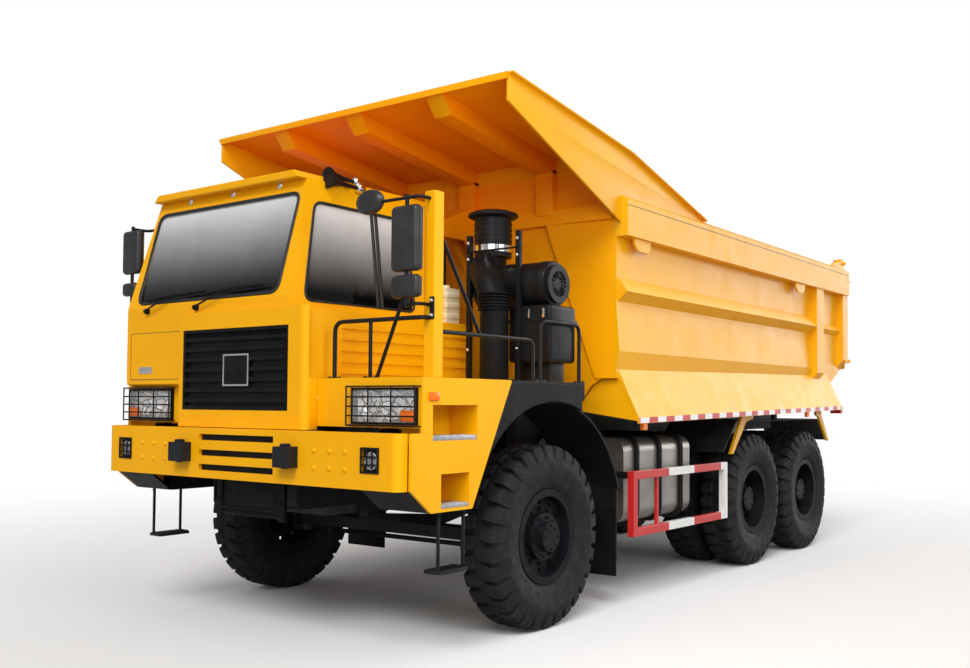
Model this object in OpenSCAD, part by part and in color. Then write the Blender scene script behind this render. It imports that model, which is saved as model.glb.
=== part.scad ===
// Rigid mining dump truck on six wheel sets, with an offset cab and a tipping bed.
// Lengths are in mm. +X is the truck's left side, -Y its front, Z is up from the ground.
// Lengths along Y are counted from the front axle; at_origin() then centres the whole truck.

/* [Wheels] */
// tyre diameter out to the lug tips
tyre_d = 1370; // [1350:5:1390]
// tyre section width
tyre_w = 375; // [360:5:385]
// bead seat radius of the rims
rim_r = 318; // [314:1:322]
// front tyre centre from the truck's middle
front_half_track = 1398; // [1392:1:1402]
// outer rear tyre centre from the truck's middle
rear_half_track = 1391; // [1385:1:1398]
// centre distance of the two tyres of a twin
twin_gap = 450; // [440:5:460]
// front axle to middle axle
wheelbase = 3820; // [3800:10:3860]
// middle axle to rear axle
bogie_gap = 1490; // [1470:10:1520]

/* [Frame] */
// outer face of the frame rails from the middle
rail_x = 460; // [455:1:465]
// top of the frame rails
rail_top = 1230; // [1222:1:1236]
// height of the frame rails
rail_h = 300; // [280:5:310]
// half width of the bumper
bumper_half = 1572; // [1550:2:1590]

/* [Cab and fenders] */
// outer side of the fender step boxes
fender_x = 1600; // [1596:1:1604]
// height of the platform over the front wheels
deck_z = 1840; // [1836:1:1850]
// left wall of the cab
cab_left = 415; // [410:1:425]
// right wall of the cab
cab_right = -1515; // [-1520:1:-1505]
// top of the cab walls, where the roof sits
roof_z = 3290; // [3270:5:3310]
// sheet thickness of the cab walls
cab_wall = 35; // [28:1:40]

/* [Bed] */
// outer face of the bed's side walls
bed_x = 1560; // [1550:1:1565]
// plate thickness of the bed
bed_plate = 20; // [16:1:24]
// top of the bed floor
floor_z = 1950; // [1945:1:1960]
// top of the bed's side rails
bed_rail_z = 3410; // [3390:5:3430]
// front edge of the canopy over the cab
canopy_front = -605; // [-640:5:-580]
// height of the canopy's front lip
canopy_z = 4020; // [4000:5:4040]

/* [Hidden] */
$fn = 48;
// clearances: seated pieces, running pins and pieces that pass each other
seat = 0.3;
run = 0.05;
pass = 6;
// axles
axle_z = tyre_d / 2;
mid_y = wheelbase;
rear_y = wheelbase + bogie_gap;
bogie_y = (mid_y + rear_y) / 2;
rear_in = rear_half_track - twin_gap;
// rims and hubs
rim_in = rim_r - 18;
flange_r = rim_r + 37;
flange_t = 15;
bead_half = 127;
lugs = 30;
lug_h = 38;
lug_w = 72;
spindle_r = 60;
// steering
king_x = front_half_track - 318;
king_r = 40;
arm_len = 270;
// frame
rail_bot = rail_top - rail_h;
rail_web = 14;
rail_flange = 110;
bumper_face = -1656;
bumper_back = -1571;
beam_back = bumper_back + 90;
bumper_z0 = 1125;
bumper_z1 = 1485;
tow_x = 580;
tow_front = -1740;
frame_end = rear_y + 810;
tip_y = rear_y + 680;
tip_z = rail_top + 100;
tip_pin_r = 40;
spring_top = axle_z + 165;
pad_h = 10;
// hoist
hoist_y = 440;
engine_rear = hoist_y - 150;
gearbox_rear = 1000;
hoist_z = rail_top + 100;
// fenders
lamp_face = -1470;
lamp_x0 = fender_x - 615;
lamp_x1 = fender_x - 35;
fog_x = bumper_half - 242;
fender_in = 640;
deck_t = 20;
deck_rear = 410;
arch_r = 1010;
pocket_in = fender_x - 250;
// cab
cab_front = -1545;
cab_rear = 100;
belt_z = 2420;
glass_t = 8;
screen_top_y = -1335;
screen_top_z = 3200;
lean = 85;
lean_z = 2380;
nose_face = -1580;
cover_x = 610;
cover_z = 2320;
grille_x0 = -730;
grille_x1 = 460;
grille_z0 = 1616;
grille_z1 = 2210;
// bed
bed_front_y = 955;
bed_rear_y = rear_y + 1225;
bed_in = bed_x - bed_plate;
bed_rail_x = bed_x + 110;
skirt_x = 1750;
skirt_l = bed_rear_y - bed_front_y - 600;
guard_x = 1530;
canopy_x = bed_x + 47;
wall_top = bed_rail_z - 227;
canopy_lip = canopy_z - 207;
hoist_eye_z = wall_top + 17;
gate_y = bed_rear_y - 65;
gate_z = bed_rail_z + 70;
gate_pin_r = 25;
beam_z = rail_top + pad_h + seat;
// whole truck
rear_end = bed_rear_y + 105;
origin_y = -(rear_end + tow_front) / 2;

// paint
amber = [0.93, 0.62, 0.03];
black = [0.05, 0.05, 0.06];
steel = [0.13, 0.14, 0.16];
rubber = [0.03, 0.03, 0.03];
silver = [0.70, 0.71, 0.72];
tint = [0.10, 0.12, 0.14, 0.5];

// a box between two corners
module block(a, b) translate(a) cube(b - a);
// the same piece on both sides of the truck
module both() {
    children();
    mirror([1, 0, 0]) children();
}
// a plate with its outline in the side view, from x0 to x1
module side_plate(x0, x1, pts) translate([x0, 0, 0]) rotate([90, 0,
    90]) linear_extrude(x1 - x0) polygon(pts);
// a bar with its outline in the front view, from y0 to y1
module front_bar(y0, y1, pts) translate([0, y1, 0]) rotate([90, 0, 0]) linear_extrude(y1 - y0) polygon(pts);
module bar_x(x0, x1, y, z, r) translate([x0, y, z]) rotate([0, 90, 0]) cylinder(h = x1 - x0, r = r);
module bar_y(y0, y1, x, z, r) translate([x, y1, z]) rotate([90, 0, 0]) cylinder(h = y1 - y0, r = r);
module bar_z(z0, z1, x, y, r) translate([x, y, z0]) cylinder(h = z1 - z0, r = r);
// a round rod between two points
module rod(p, q, r) {
    d = q - p;
    translate(p) rotate([0, acos(d[2] / norm(d)), atan2(d[1], d[0])]) cylinder(h = norm(d), r = r);
}
// a tube led through several points, with ball joints at its corners
module tube(pts, r) {
    for (i = [0 : len(pts) - 2]) rod(pts[i], pts[i + 1], r);
    for (i = [1 : 1 : len(pts) - 2]) translate(pts[i]) sphere(r = 1.12 * r);
}
module at_origin() translate([0, origin_y, 0]) children();

// beam behind the bumper with the two tow blocks that reach through it
module front_beam() color(steel) difference() {
    union() {
        block([-tow_x - 120, bumper_back, 1160], [tow_x + 120, beam_back, 1490]);
        both() block([tow_x - 80, tow_front, 1240], [tow_x + 80, bumper_back + 40, 1380]);
    }
    both() bar_z(1200, 1420, tow_x, tow_front + 42, 22);
}

// channel rail with cab mounts, spring hangers, pads under the bed and the tipping hinge ear
module rail_left() color(steel) rail();
module rail_right() color(steel) mirror([1, 0, 0]) rail();
module rail() difference() {
    union() {
        difference() {
            block([rail_x - rail_flange, beam_back + seat, rail_bot], [rail_x, frame_end, rail_top]);
            block([rail_x - rail_flange - 1, bumper_back, rail_bot + rail_web],
                [rail_x - rail_web, frame_end + 1, rail_top - rail_web]);
        }
        // cab mounts
        for (y = [-1150, -50]) block([360, y, rail_top - 5], [rail_x - 10, y + 80, deck_z - seat]);
        // front spring hangers
        for (y = [-790, 690]) block([360, y, spring_top], [rail_x, y + 100, rail_bot + 5]);
        // rear spring saddle
        block([rail_x - rail_flange, bogie_y - 130, axle_z + 95],
            [rail_x + 60 - seat, bogie_y + 130, rail_bot + 5]);
        // pads under the bed
        for (y = [1250, mid_y - 820, rear_y - 210])
            block([370, y, rail_top - 5], [rail_x - 10, y + 180, rail_top + pad_h]);
        // tipping hinge ear
        block([400, tip_y - 70, rail_top - 5], [445, tip_y + 70, tip_z]);
        bar_x(400, 445, tip_y, tip_z, 70);
    }
    bar_x(395, 450, tip_y, tip_z, tip_pin_r + run);
}

// cross members between the rails, and the hoist's seat on the one in front
module cross_members() color(steel) {
    w = rail_x - rail_web - seat;
    for (y = [-1360, 1480, mid_y - 1120, bogie_y - 60, frame_end - 130])
        block([-w, y, rail_top - 150], [w, y + 120, rail_top - 30]);
    block([-rail_x, hoist_y - 70, rail_top + seat], [rail_x, hoist_y + 70, rail_top + 25]);
    both() {
        block([75, hoist_y - 70, rail_top + 20], [105, hoist_y + 70, hoist_z]);
        bar_x(75, 105, hoist_y, hoist_z, 70);
        bar_x(0, 90, hoist_y, hoist_z, 35);
    }
}

// front bumper, a pressed box with three slots and pockets for fog lamps
module bumper() color(amber) difference() {
    union() {
        block([-bumper_half + 60, bumper_face, bumper_z0],
            [bumper_half - 60, bumper_back - seat, bumper_z1]);
        both() block([bumper_half - 61, bumper_face + 60, bumper_z0],
            [bumper_half, bumper_back - seat, bumper_z1]);
        both() intersection() {
            bar_z(bumper_z0, bumper_z1, bumper_half - 60, bumper_face + 60, 60);
            block([bumper_half - 60, bumper_face, bumper_z0], [bumper_half, bumper_face + 60, bumper_z1]);
        }
    }
    for (z = [1397, 1285, 1180]) block([-410, bumper_face - 1, z], [410, bumper_face + 40, z + 45]);
    both() block([tow_x - 80 - seat, bumper_face - 1, 1240 - seat],
        [tow_x + 80 + seat, bumper_back + 1, 1380 + seat]);
    both() block([fog_x - 80, bumper_face - 1, 1229], [fog_x + 80, bumper_face + 60, 1395]);
}

// step box of the left fender: lamp panel, platform, side plate with two step pockets
module fender_left() color(amber) fender();
module fender_right() color(amber) mirror([1, 0, 0]) fender();
module fender() {
    s = fender_x - deck_t;
    difference() {
        union() {
            block([fender_in, lamp_face, deck_z - deck_t], [fender_x, deck_rear, deck_z]);
            block([fender_in, lamp_face, 1515], [fender_x, lamp_face + 20, deck_z]);
            block([fender_in, lamp_face, 1515], [s + 1, -1200, 1535]);
            side_plate(s, fender_x, [[bumper_back + seat, 1485], [bumper_back + seat, 1128], [-1379, 976],
                [-966, 976], [-541, deck_z - deck_t], [-541, deck_z], [lamp_face, deck_z],
                    [lamp_face, 1485]]);
            // pocket linings
            block([pocket_in - 20, -1390, 1414], [s + 1, -897, 1684]);
            block([pocket_in - 20, -1305, 976], [s + 1, -980, 1240]);
            // floor, chamfer and inner plates of the box
            block([1150, -1379, 976], [s + 1, -975, 996]);
            side_plate(1150, s + 1, [[bumper_back + 1, 1128], [-1379, 976], [-1379, 996],
                [bumper_back + 1, 1153]]);
            block([1130, -1370, 976], [1150, -975, deck_z - deck_t + 1]);
        }
        block([pocket_in, -1370, 1434], [fender_x + 1, -917, 1664]);
        block([pocket_in, -1285, 996], [fender_x + 1, -1000, 1220]);
        block([lamp_x0, lamp_face - 1, 1535], [lamp_x1, lamp_face + 21, 1775]);
    }
    // outriggers to the frame rail
    block([rail_x + seat, -1200, 1100], [1131, -1100, 1200]);
    block([rail_x - 80, 280, deck_z - 100], [s - 10 - seat, 360, deck_z - deck_t + 1]);
    block([rail_x - 80, 280, rail_top + seat], [rail_x, 360, deck_z - 99]);
}

// black arch edge, liner over the front wheel and mud flap behind it
module wheel_arches() color(black) both() {
    top = deck_z - deck_t - seat;
    s = fender_x - deck_t;
    difference() {
        side_plate(s - 10, fender_x - seat, [[-965, 976], [-540, top], [deck_rear, top], [deck_rear, 976]]);
        bar_x(s - 20, fender_x + 1, 0, axle_z, arch_r, $fn = 180);
        block([s - 20, 380, 900], [fender_x + 1, deck_rear + 1, 1700]);
    }
    intersection() {
        difference() {
            bar_x(1000, s - seat, 0, axle_z, arch_r + 10, $fn = 180);
            bar_x(999, s + 1, 0, axle_z, arch_r - 10, $fn = 180);
        }
        block([990, -964, 976], [fender_x, 1100, 1810]);
    }
    block([1050, 955, 380], [1560, 972, 1010]);
    // stay up to the platform's beam
    block([1200, 290, axle_z + 960], [1260, 350, deck_z - 100 - seat]);
}

// step treads in the pockets and the step hung below
module steps() color(silver) both() {
    block([pocket_in + seat, -1370 + seat, 1434 + seat], [fender_x - 4, -917 - seat, 1464]);
    block([pocket_in + seat, -1285 + seat, 996 + seat], [fender_x - 4, -1000 - seat, 1022]);
    for (y = [-1345, -1065]) block([1540, y, 585], [1556, y + 16, 976 - seat]);
    block([1440, -1356, 570], [1580, -1038, 600]);
}

// handrails round the platform and the two posts that carry the air cleaner
module handrails() color(black) {
    r = 15;
    tube([[730, -1400, deck_z], [730, -1400, 2225], [1535, -1400, 2225], [1535, -1345 - seat, 2225]], r);
    rod([1070, -1400, deck_z], [1070, -1400, 2225], r - 2);
    tube([[1560, -1255 + seat, 2140], [1560, -230, 2140], [1560, -230, deck_z]], r);
    rod([1560, -1242, 2740], [1560, -850, 2140], r - 2);
    tube([[1560, -140, deck_z], [1560, -140, 2290], [1560, 390, 2290], [1560, 390, deck_z]], r);
    for (x = [752, 1237]) block([x, -20, deck_z], [x + 40, 20, 3010]);
    block([752, -20, 2860], [1277, 0, 2900]);
}

// square post on the platform that carries the left mirrors
module mirror_post() color(amber) block([1490, -1345, deck_z], [1580, -1255, 3050]);

// mirror housings with their arms, left on the post and right on the cab pillar
module mirrors() color(black) {
    y = -1435;
    block([1300, y - 40, 2520], [1540, y + 40, 2950]);
    block([1300, y - 35, 2350], [1540, y + 35, 2500]);
    bar_z(2290, 3020, 1420, y, 15);
    tube([[1420, y, 3000], [1535, y, 3000], [1535, -1345 - seat, 3000]], 12);
    tube([[1420, y, 2310], [1535, y, 2310], [1535, -1345 - seat, 2310]], 12);
    // round mirror
    bar_x(1080, 1422, y, 3000, 11);
    intersection() {
        bar_y(y - 30, y + 20, 1080, 3010, 125);
        block([950, y - 31, 2925], [1210, y + 21, 3095]);
    }
    // right side
    xr = -1640;
    block([-1748, y - 35, 2720], [-1520, y + 35, 3080]);
    block([-1748, y - 30, 2540], [-1560, y + 30, 2650]);
    bar_z(2460, 3115, xr, y, 15);
    for (z = [2480, 3095])
        tube([[xr, y, z], [xr, -1300, z], [wall_right(z) - 1.5, -1300, z]], 12);
}
// outer faces of the leaning cab walls at height z
function lean_at(z) = z < lean_z ? 0 : lean * (z - lean_z) / (roof_z - lean_z);
function wall_right(z) = cab_right + lean_at(z);
function wall_left(z) = cab_left - lean_at(z);

// side view and front view outlines of the cab, drawn in by t
function cab_side(t, z0, z1) = [[cab_front + t, z0], [cab_front + t, belt_z], [screen_y(z1) + t, z1],
    [cab_rear - t, z1], [cab_rear - t, z0]];
function screen_y(z) = cab_front + (screen_top_y - cab_front) * (z - belt_z) / (screen_top_z - belt_z);
function cab_face(t, z0, z1) = [[cab_right + t, z0], [cab_right + t, lean_z], [wall_right(z1) + t, z1],
    [wall_left(z1) - t, z1], [cab_left - t, lean_z], [cab_left - t, z0]];
module cab_solid(t, z0, z1) intersection() {
    side_plate(cab_right, cab_left, cab_side(t, z0, z1));
    front_bar(cab_front - 10, cab_rear + 10, cab_face(t, z0, z1));
}
// window outlines in the side view, grown by g
// an outline with its corners rounded over the length r
function eased(pts, r) = [for (i = [0 : len(pts) - 1])
    let (p = pts[i], a = pts[(i + len(pts) - 1) % len(pts)] - p, b = pts[(i + 1) % len(pts)] - p)
    for (t = [0 : 0.25 : 1]) p + a * r * pow(1 - t, 2) / norm(a) + b * r * pow(t, 2) / norm(b)];
function door_hole(g) = [[-1260 - g, 1890 - g], [-1260 - g, 2420], [-1120 - g, 3150 + g],
    [-300 + g, 3150 + g], [-300 + g, 1890 - g]];
function left_window(g) = eased([[-1400 - g, 2400 - g], [-1255 - g, 3130 + g], [-290 + g, 3130 + g],
    [-250 + g, 2400 - g]], 90);
function door_window(g) = eased([[-1190 - g, 2430 - g], [-1065 - g, 3080 + g], [-370 + g, 3080 + g],
    [-370 + g, 2430 - g]], 80);
// windscreen opening in the side view
function screen_cut(g) = [[screen_y(2450 - g) - 60, 2450 - g], [screen_y(3190 + g) - 60, 3190 + g],
    [screen_y(3190 + g) + 90, 3190 + g], [screen_y(2450 - g) + 90, 2450 - g]];
screen_x0 = -1390;
screen_x1 = 290;
// the opening itself, with round corners in the front view
module screen_hole(g) intersection() {
    side_plate(screen_x0 - g, screen_x1 + g, screen_cut(g));
    front_bar(cab_front - 100, screen_top_y + 150, eased([[screen_x0 - g, 2450 - g],
        [screen_x1 + g, 2450 - g],
        [screen_x1 + g, 3190 + g], [screen_x0 - g, 3190 + g]], 90));
}

// cab walls and floor, one welded shell open at the top
module cab_shell() color(amber) {
    difference() {
        cab_solid(0, deck_z, roof_z);
        cab_solid(cab_wall, deck_z + 40, roof_z + 10);
        // windscreen, left window, rear window, door
        screen_hole(0);
        side_plate(cab_left - 200, cab_left + 10, left_window(0));
        block([-1200, cab_rear - 60, 2500], [100, cab_rear + 10, 3050]);
        side_plate(cab_right - 10, cab_right + 200, door_hole(0));
        // way through for the radiator
        block([-740, cab_front - 10, deck_z - 10], [390, -1435, 2230]);
    }
    // hinge lugs and pins of the door
    for (z = [2000, 2340]) {
        bar_z(z - 70, z + 70, hinge_x, hinge_y, 8);
        for (dz = [-70, 40]) {
            bar_z(z + dz, z + dz + 30, hinge_x, hinge_y, 14);
            block([hinge_x, hinge_y - 30, z + dz], [cab_right + 5, hinge_y - 10, z + dz + 30]);
            block([hinge_x - 14, hinge_y - 30, z + dz], [hinge_x + 5, hinge_y, z + dz + 30]);
        }
    }
}
hinge_x = cab_right - 16;
hinge_y = -1254;

// pressed roof with a sun visor at the front
module cab_roof() color(amber) {
    front_bar(-1390, cab_rear, [[wall_right(roof_z), roof_z + seat], [wall_right(roof_z) + 60, roof_z + 60],
        [wall_left(roof_z) - 60, roof_z + 60], [wall_left(roof_z), roof_z + seat]]);
}

// windscreen, left window and rear window panes
module cab_glass() color(tint) {
    intersection() {
        screen_hole(-seat);
        side_plate(screen_x0, screen_x1, [[screen_y(2300) + 10, 2300], [screen_y(3300) + 10, 3300],
            [screen_y(3300) + 10 + glass_t, 3300], [screen_y(2300) + 10 + glass_t, 2300]]);
    }
    intersection() {
        side_plate(cab_left - 200, cab_left, left_window(-seat));
        front_bar(-1600, 0, [[wall_left(2380) - 10 - glass_t, 2380], [wall_left(3200) - 10 - glass_t, 3200],
            [wall_left(3200) - 10, 3200], [wall_left(2380) - 10, 2380]]);
    }
    block([-1200 + seat, cab_rear - 20, 2500 + seat], [100 - seat, cab_rear - 20 + glass_t, 3050 - seat]);
}

// right door in its opening, with a window
module door() color(amber) difference() {
    union() {
        intersection() {
            side_plate(cab_right, cab_right + 200, door_hole(-pass));
            difference() {
                cab_solid(0, deck_z, roof_z);
                cab_solid(cab_wall, deck_z, roof_z + 10);
            }
        }
        // hinge eyes
        for (z = [2000, 2340]) {
            bar_z(z - 36, z + 36, hinge_x, hinge_y, 14);
            block([hinge_x - 14, hinge_y, z - 36], [cab_right + 2, hinge_y + 30, z + 36]);
        }
    }
    side_plate(cab_right - 10, cab_right + 200, door_window(0));
    for (z = [2000, 2340]) bar_z(z - 40, z + 40, hinge_x, hinge_y, 8 + run);
}
module door_glass() color(tint) intersection() {
    side_plate(cab_right, cab_right + 200, door_window(-seat));
    front_bar(-1600, 0, [[wall_right(2380) + 10, 2380], [wall_right(3200) + 10, 3200],
        [wall_right(3200) + 10 + glass_t, 3200], [wall_right(2380) + 10 + glass_t, 2380]]);
}

// engine cover: nose panel round the grille and the ribbed side beside the cab
module engine_cover() color(amber) {
    back = cab_front - seat;
    difference() {
        union() {
            block([-770, nose_face, 1490], [fender_in - 60, back, 2340]);
            intersection() {
                bar_z(1490, 2340, fender_in - 60, nose_face + 60, 60);
                block([fender_in - 60, nose_face, 1490], [fender_in, back, 2340]);
            }
        }
        block([grille_x0, nose_face - 1, grille_z0], [grille_x1, back + 1, grille_z1]);
    }
    block([cover_x - 30, back - 1, deck_z], [cover_x, 200, cover_z]);
    block([cab_left + seat, back - 1, cover_z - 25], [cover_x, 200, cover_z]);
    block([cab_left + seat, 175, deck_z], [cover_x, 200, cover_z]);
    for (i = [0 : 4]) block([cover_x - 1, -1230, 1880 + 80 * i], [cover_x + 12, 170, 1915 + 80 * i]);
}

// radiator grille with cross louvres
module grille() color(black) {
    y0 = nose_face + 4;
    y1 = cab_front - seat;
    difference() {
        block([grille_x0 + seat, y0, grille_z0 + seat], [grille_x1 - seat, y1, grille_z1 - seat]);
        block([grille_x0 + 25, y0 - 1, grille_z0 + 25], [grille_x1 - 25, y1 + 1, grille_z1 - 25]);
    }
    for (i = [0 : 6]) block([grille_x0 + 20, y0 + 4, grille_z0 + 55 + 75 * i],
        [grille_x1 - 20, y1 - 4, grille_z0 + 85 + 75 * i]);
}

// engine block with side mounts, and the radiator behind the grille
module engine() color(steel) {
    block([-330, engine_rear - 1370, 850], [330, engine_rear, 1650]);
    for (y = [-800, 60]) block([-rail_x + rail_web + seat, y, 1000],
        [rail_x - rail_web - seat, y + 150, 1090]);
    block([-630, cab_front + 2, 1490 + seat], [380, -1440, 2215]);
}

// driver and passenger seats
module seats() color(black) for (x = [-1000, -180]) {
    block([x - 180, -680, deck_z + 40 + seat], [x + 180, -280, 2120]);
    block([x - 240, -720, 2110], [x + 240, -240, 2260]);
    block([x - 230, -290, 2250], [x + 230, -170, 2830]);
}

// dashboard with the steering column and wheel
module dash() color(black) {
    block([-1470, cab_front + cab_wall + seat, 2235], [370, -1250, belt_z - seat]);
    rod([-180, -1300, 2330], [-180, -1010, 2520], 25);
    translate([-180, -1010, 2520]) rotate([57, 0, 0]) {
        rotate_extrude() translate([215, 0]) circle(r = 16);
        translate([-215, -20, -8]) cube([430, 40, 16]);
    }
}

// air cleaner lying across the platform, its pre-cleaner above and the filter box below
module air_cleaner() color(black) {
    bar_x(760, 1470, 200, 2600, 180 - seat);
    bar_x(1470, 1500, 200, 2600, 150);
    bar_z(2700, 2860, 850, 200, 110);
    bar_z(2850, 3170, 850, 200, 150);
    bar_z(3170, 3240, 850, 200, 205);
    block([1140, 20 + seat, 1990], [1540, 380, 2430]);
    block([1200, 100, deck_z], [1480, 300, 2000]);
}

// coolant expansion tank on the engine cover
module expansion_tank() color([0.85, 0.80, 0.62]) {
    block([440, -80, cover_z + seat], [600, 80, 2600]);
    bar_z(2600, 2630, 520, 0, 35);
}

// tank with round edges along Y
module tank(x0, x1, y0, y1, z0, z1, r) {
    block([x0 + r, y0, z0], [x1 - r, y1, z1]);
    block([x0, y0, z0 + r], [x1, y1, z1 - r]);
    for (x = [x0 + r, x1 - r]) for (z = [z0 + r, z1 - r]) bar_y(y0, y1, x, z, r);
}
module fuel_tank() color(silver) {
    tank(490, 1400, 1350, mid_y - 1220, 640, 1380, 120);
    for (y = [1500, mid_y - 1520]) block([rail_x + seat, y, 980], [500, y + 120, 1180]);
}
module hydraulic_tank() color(steel) mirror([1, 0, 0]) {
    tank(490, 1400, 1350, mid_y - 1620, 640, 1380, 120);
    for (y = [1500, mid_y - 1870]) block([rail_x + seat, y, 980], [500, y + 120, 1180]);
}

// side guards between the axles, on arms from the frame
module side_guards() color([0.8, 0.1, 0.08]) both() {
    x0 = fender_x - 60;
    y1 = mid_y - 790;
    for (z = [1040, 560]) block([x0, 1180, z], [fender_x, y1, z + 70]);
    for (y = [1180, y1 - 70]) block([x0, y, 560], [fender_x, y + 70, 1110]);
    block([x0, 1640, 560], [x0 + 30, 1672, 1110]);
    for (y = [1185, y1 - 230]) block([rail_x + seat, y, 1045], [x0 + 1, y + 60, 1105]);
}

// forged front axle beam with its leaf springs
module front_axle() color(steel) difference() {
    union() {
        block([-king_x, -75, axle_z - 85], [king_x, 75, axle_z + 15]);
        both() bar_z(axle_z - 85, axle_z + 85, king_x, 0, 65);
        both() side_plate(365, rail_x - 5, [[-790, spring_top - seat], [-790, spring_top - 30],
            [-100, axle_z + 10],
            [100, axle_z + 10], [790, spring_top - 30], [790, spring_top - seat], [0, axle_z + 90]]);
    }
    both() bar_z(axle_z - 90, axle_z + 90, king_x, 0, king_r + run);
}

// turned housing of a driven axle, swelling round the differential
module axle_housing(y) translate([0, y, axle_z]) rotate([0, 90, 0]) rotate_extrude() polygon([
    [0, -735], [110, -735], [110, -330], [250, -120], [250, 120], [110, 330], [110, 735], [0, 735]]);
// two driven axles joined by the rear spring packs
module rear_bogie() color(steel) {
    for (y = [mid_y, rear_y]) {
        axle_housing(y);
        bar_y(y - 420, y - 200, 0, axle_z, 80);
        both() bar_x(720, 745, y, axle_z, 200);
        both() bar_x(735, rear_half_track - 106, y, axle_z, spindle_r);
    }
    bar_y(mid_y + 200, mid_y + 330, 0, axle_z, 80);
    both() block([rail_x + 60, mid_y - 110, axle_z + 100], [rail_x + 180, rear_y + 110, axle_z + 190]);
    both() block([rail_x + 60, bogie_y - 120, axle_z + 90], [rail_x + 180, bogie_y + 120, axle_z + 260]);
}

// gearbox and propeller shafts
module driveline() color(steel) {
    block([-230, engine_rear + seat, 830], [230, gearbox_rear, 1190]);
    bar_y(gearbox_rear - 10, gearbox_rear + 40, 0, 950, 90);
    rod([0, gearbox_rear + 30, 950], [0, mid_y - 436, axle_z], 55);
    bar_y(mid_y - 450, mid_y - 420 - seat, 0, axle_z, 80);
    bar_y(mid_y + 330 + seat, rear_y - 420 - seat, 0, axle_z, 55);
}

// headlamp units in the fender panels and fog lamps in the bumper
module headlamps() color([0.9, 0.9, 0.88, 0.6]) both() {
    block([lamp_x0 + seat, lamp_face - 20, 1535 + seat], [lamp_x1 - seat, lamp_face + 70, 1775 - seat]);
    block([fog_x - 65, bumper_face + 5, 1229 + seat], [fog_x + 65, bumper_face + 60 - seat, 1380]);
}

// steering knuckle: kingpin, fork, spindle and steering arm
module knuckle() {
    web = king_x + 85;
    bar_z(axle_z - 145, axle_z + 145, king_x, 0, king_r);
    for (z = [axle_z - 145, axle_z + 95]) {
        bar_z(z, z + 50, king_x, 0, 70);
        block([king_x, -70, z], [web + 30, 70, z + 50]);
    }
    block([web, -70, axle_z - 145], [web + 30, 70, axle_z + 145]);
    bar_x(web + 20, front_half_track + 42, 0, axle_z, spindle_r);
    block([king_x - 30, 50, axle_z - 145], [king_x + 30, arm_len + 35, axle_z - 105]);
}
module knuckle_left() color(steel) knuckle();
module knuckle_right() color(steel) mirror([1, 0, 0]) knuckle();

// track rod below the steering arms
module tie_rod() color(steel) {
    z = axle_z - 145 - seat;
    bar_x(-king_x, king_x, arm_len, z - 30, 20);
    both() bar_z(z - 58, z, king_x, arm_len, 32);
}

// rim ring and tyre, turned about X at x
module rim_ring(x) translate([x, 0, axle_z]) rotate([0, 90, 0]) rotate_extrude($fn = 64) polygon([
    [rim_in, -bead_half - flange_t], [flange_r, -bead_half - flange_t], [flange_r, -bead_half],
        [rim_r, -bead_half],
    [rim_r, bead_half], [flange_r, bead_half], [flange_r, bead_half + flange_t],
        [rim_in, bead_half + flange_t]]);
module tyre(x) translate([x, 0, axle_z]) {
    h = tyre_w / 2;
    b = bead_half - 1;
    r = tyre_d / 2;
    tread = r - lug_h;
    rotate([0, 90, 0]) rotate_extrude($fn = 64) polygon([
        [rim_r + seat, -b], [flange_r + 2, -b], [flange_r + 25, -h + 22], [flange_r + 105, -h],
            [r - 125, -h],
        [r - 85, -h + 22], [tread, -h + 62],
        [tread, h - 62], [r - 85, h - 22], [r - 125, h], [flange_r + 105, h],
        [flange_r + 25, h - 22], [flange_r + 2, b], [rim_r + seat, b]]);
    for (i = [0 : lugs - 1]) {
        rotate([i * 360 / lugs, 0, 0]) tyre_lug(h, r);
        rotate([(i + 0.5) * 360 / lugs, 0, 0]) mirror([1, 0, 0]) tyre_lug(h, r);
    }
}
// one lug of the tread, running from the middle over the shoulder
module tyre_lug(h, r) front_bar(-lug_w / 2, lug_w / 2, [[28, r - lug_h - 10], [28, r - 1], [h - 42, r - 1],
    [h - 6, r - 125], [h - 70, r - 125]]);
// front wheel: dished disc outside, hub running on the spindle
module front_rim() {
    c = front_half_track;
    rim_ring(c);
    difference() {
        union() {
            bar_x(c + 44, c + 66, 0, axle_z, rim_in + 1);
            bar_x(king_x + 150, c + 60, 0, axle_z, 140);
            bar_x(c + 60, c + 120, 0, axle_z, 175);
            bar_x(c + 120, c + 178, 0, axle_z, 110);
        }
        bar_x(king_x + 140, c + 48, 0, axle_z, spindle_r + run);
        for (a = [0 : 30 : 359]) translate([0, 0, axle_z]) rotate([a, 0, 0]) bar_x(c + 40, c + 70, 0,
            255, 18);
    }
}
// twin wheels on one hub barrel, with a deep dished disc
module twin_rims(y) translate([0, y, 0]) {
    c = rear_half_track;
    rim_ring(c);
    rim_ring(rear_in);
    difference() {
        bar_x(rear_in - 80, c - 61, 0, axle_z, rim_in + 1);
        bar_x(rear_in - 90, c - 91, 0, axle_z, rim_in - 30);
    }
    difference() {
        bar_x(rear_in - 60, rear_in - 25, 0, axle_z, rim_in - 29);
        bar_x(rear_in - 61, rear_in - 24, 0, axle_z, spindle_r + run);
    }
    bar_x(c - 62, c + 10, 0, axle_z, 175);
    bar_x(c, c + 90, 0, axle_z, 120);
}
module twin_tyres(y) translate([0, y, 0]) {
    tyre(rear_half_track);
    tyre(rear_in);
}
module rim_front_left() color(steel) front_rim();
module rim_front_right() color(steel) mirror([1, 0, 0]) front_rim();
module tyre_front_left() color(rubber) tyre(front_half_track);
module tyre_front_right() color(rubber) mirror([1, 0, 0]) tyre(front_half_track);
module rims_mid_left() color(steel) twin_rims(mid_y);
module rims_mid_right() color(steel) mirror([1, 0, 0]) twin_rims(mid_y);
module rims_rear_left() color(steel) twin_rims(rear_y);
module rims_rear_right() color(steel) mirror([1, 0, 0]) twin_rims(rear_y);
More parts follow.
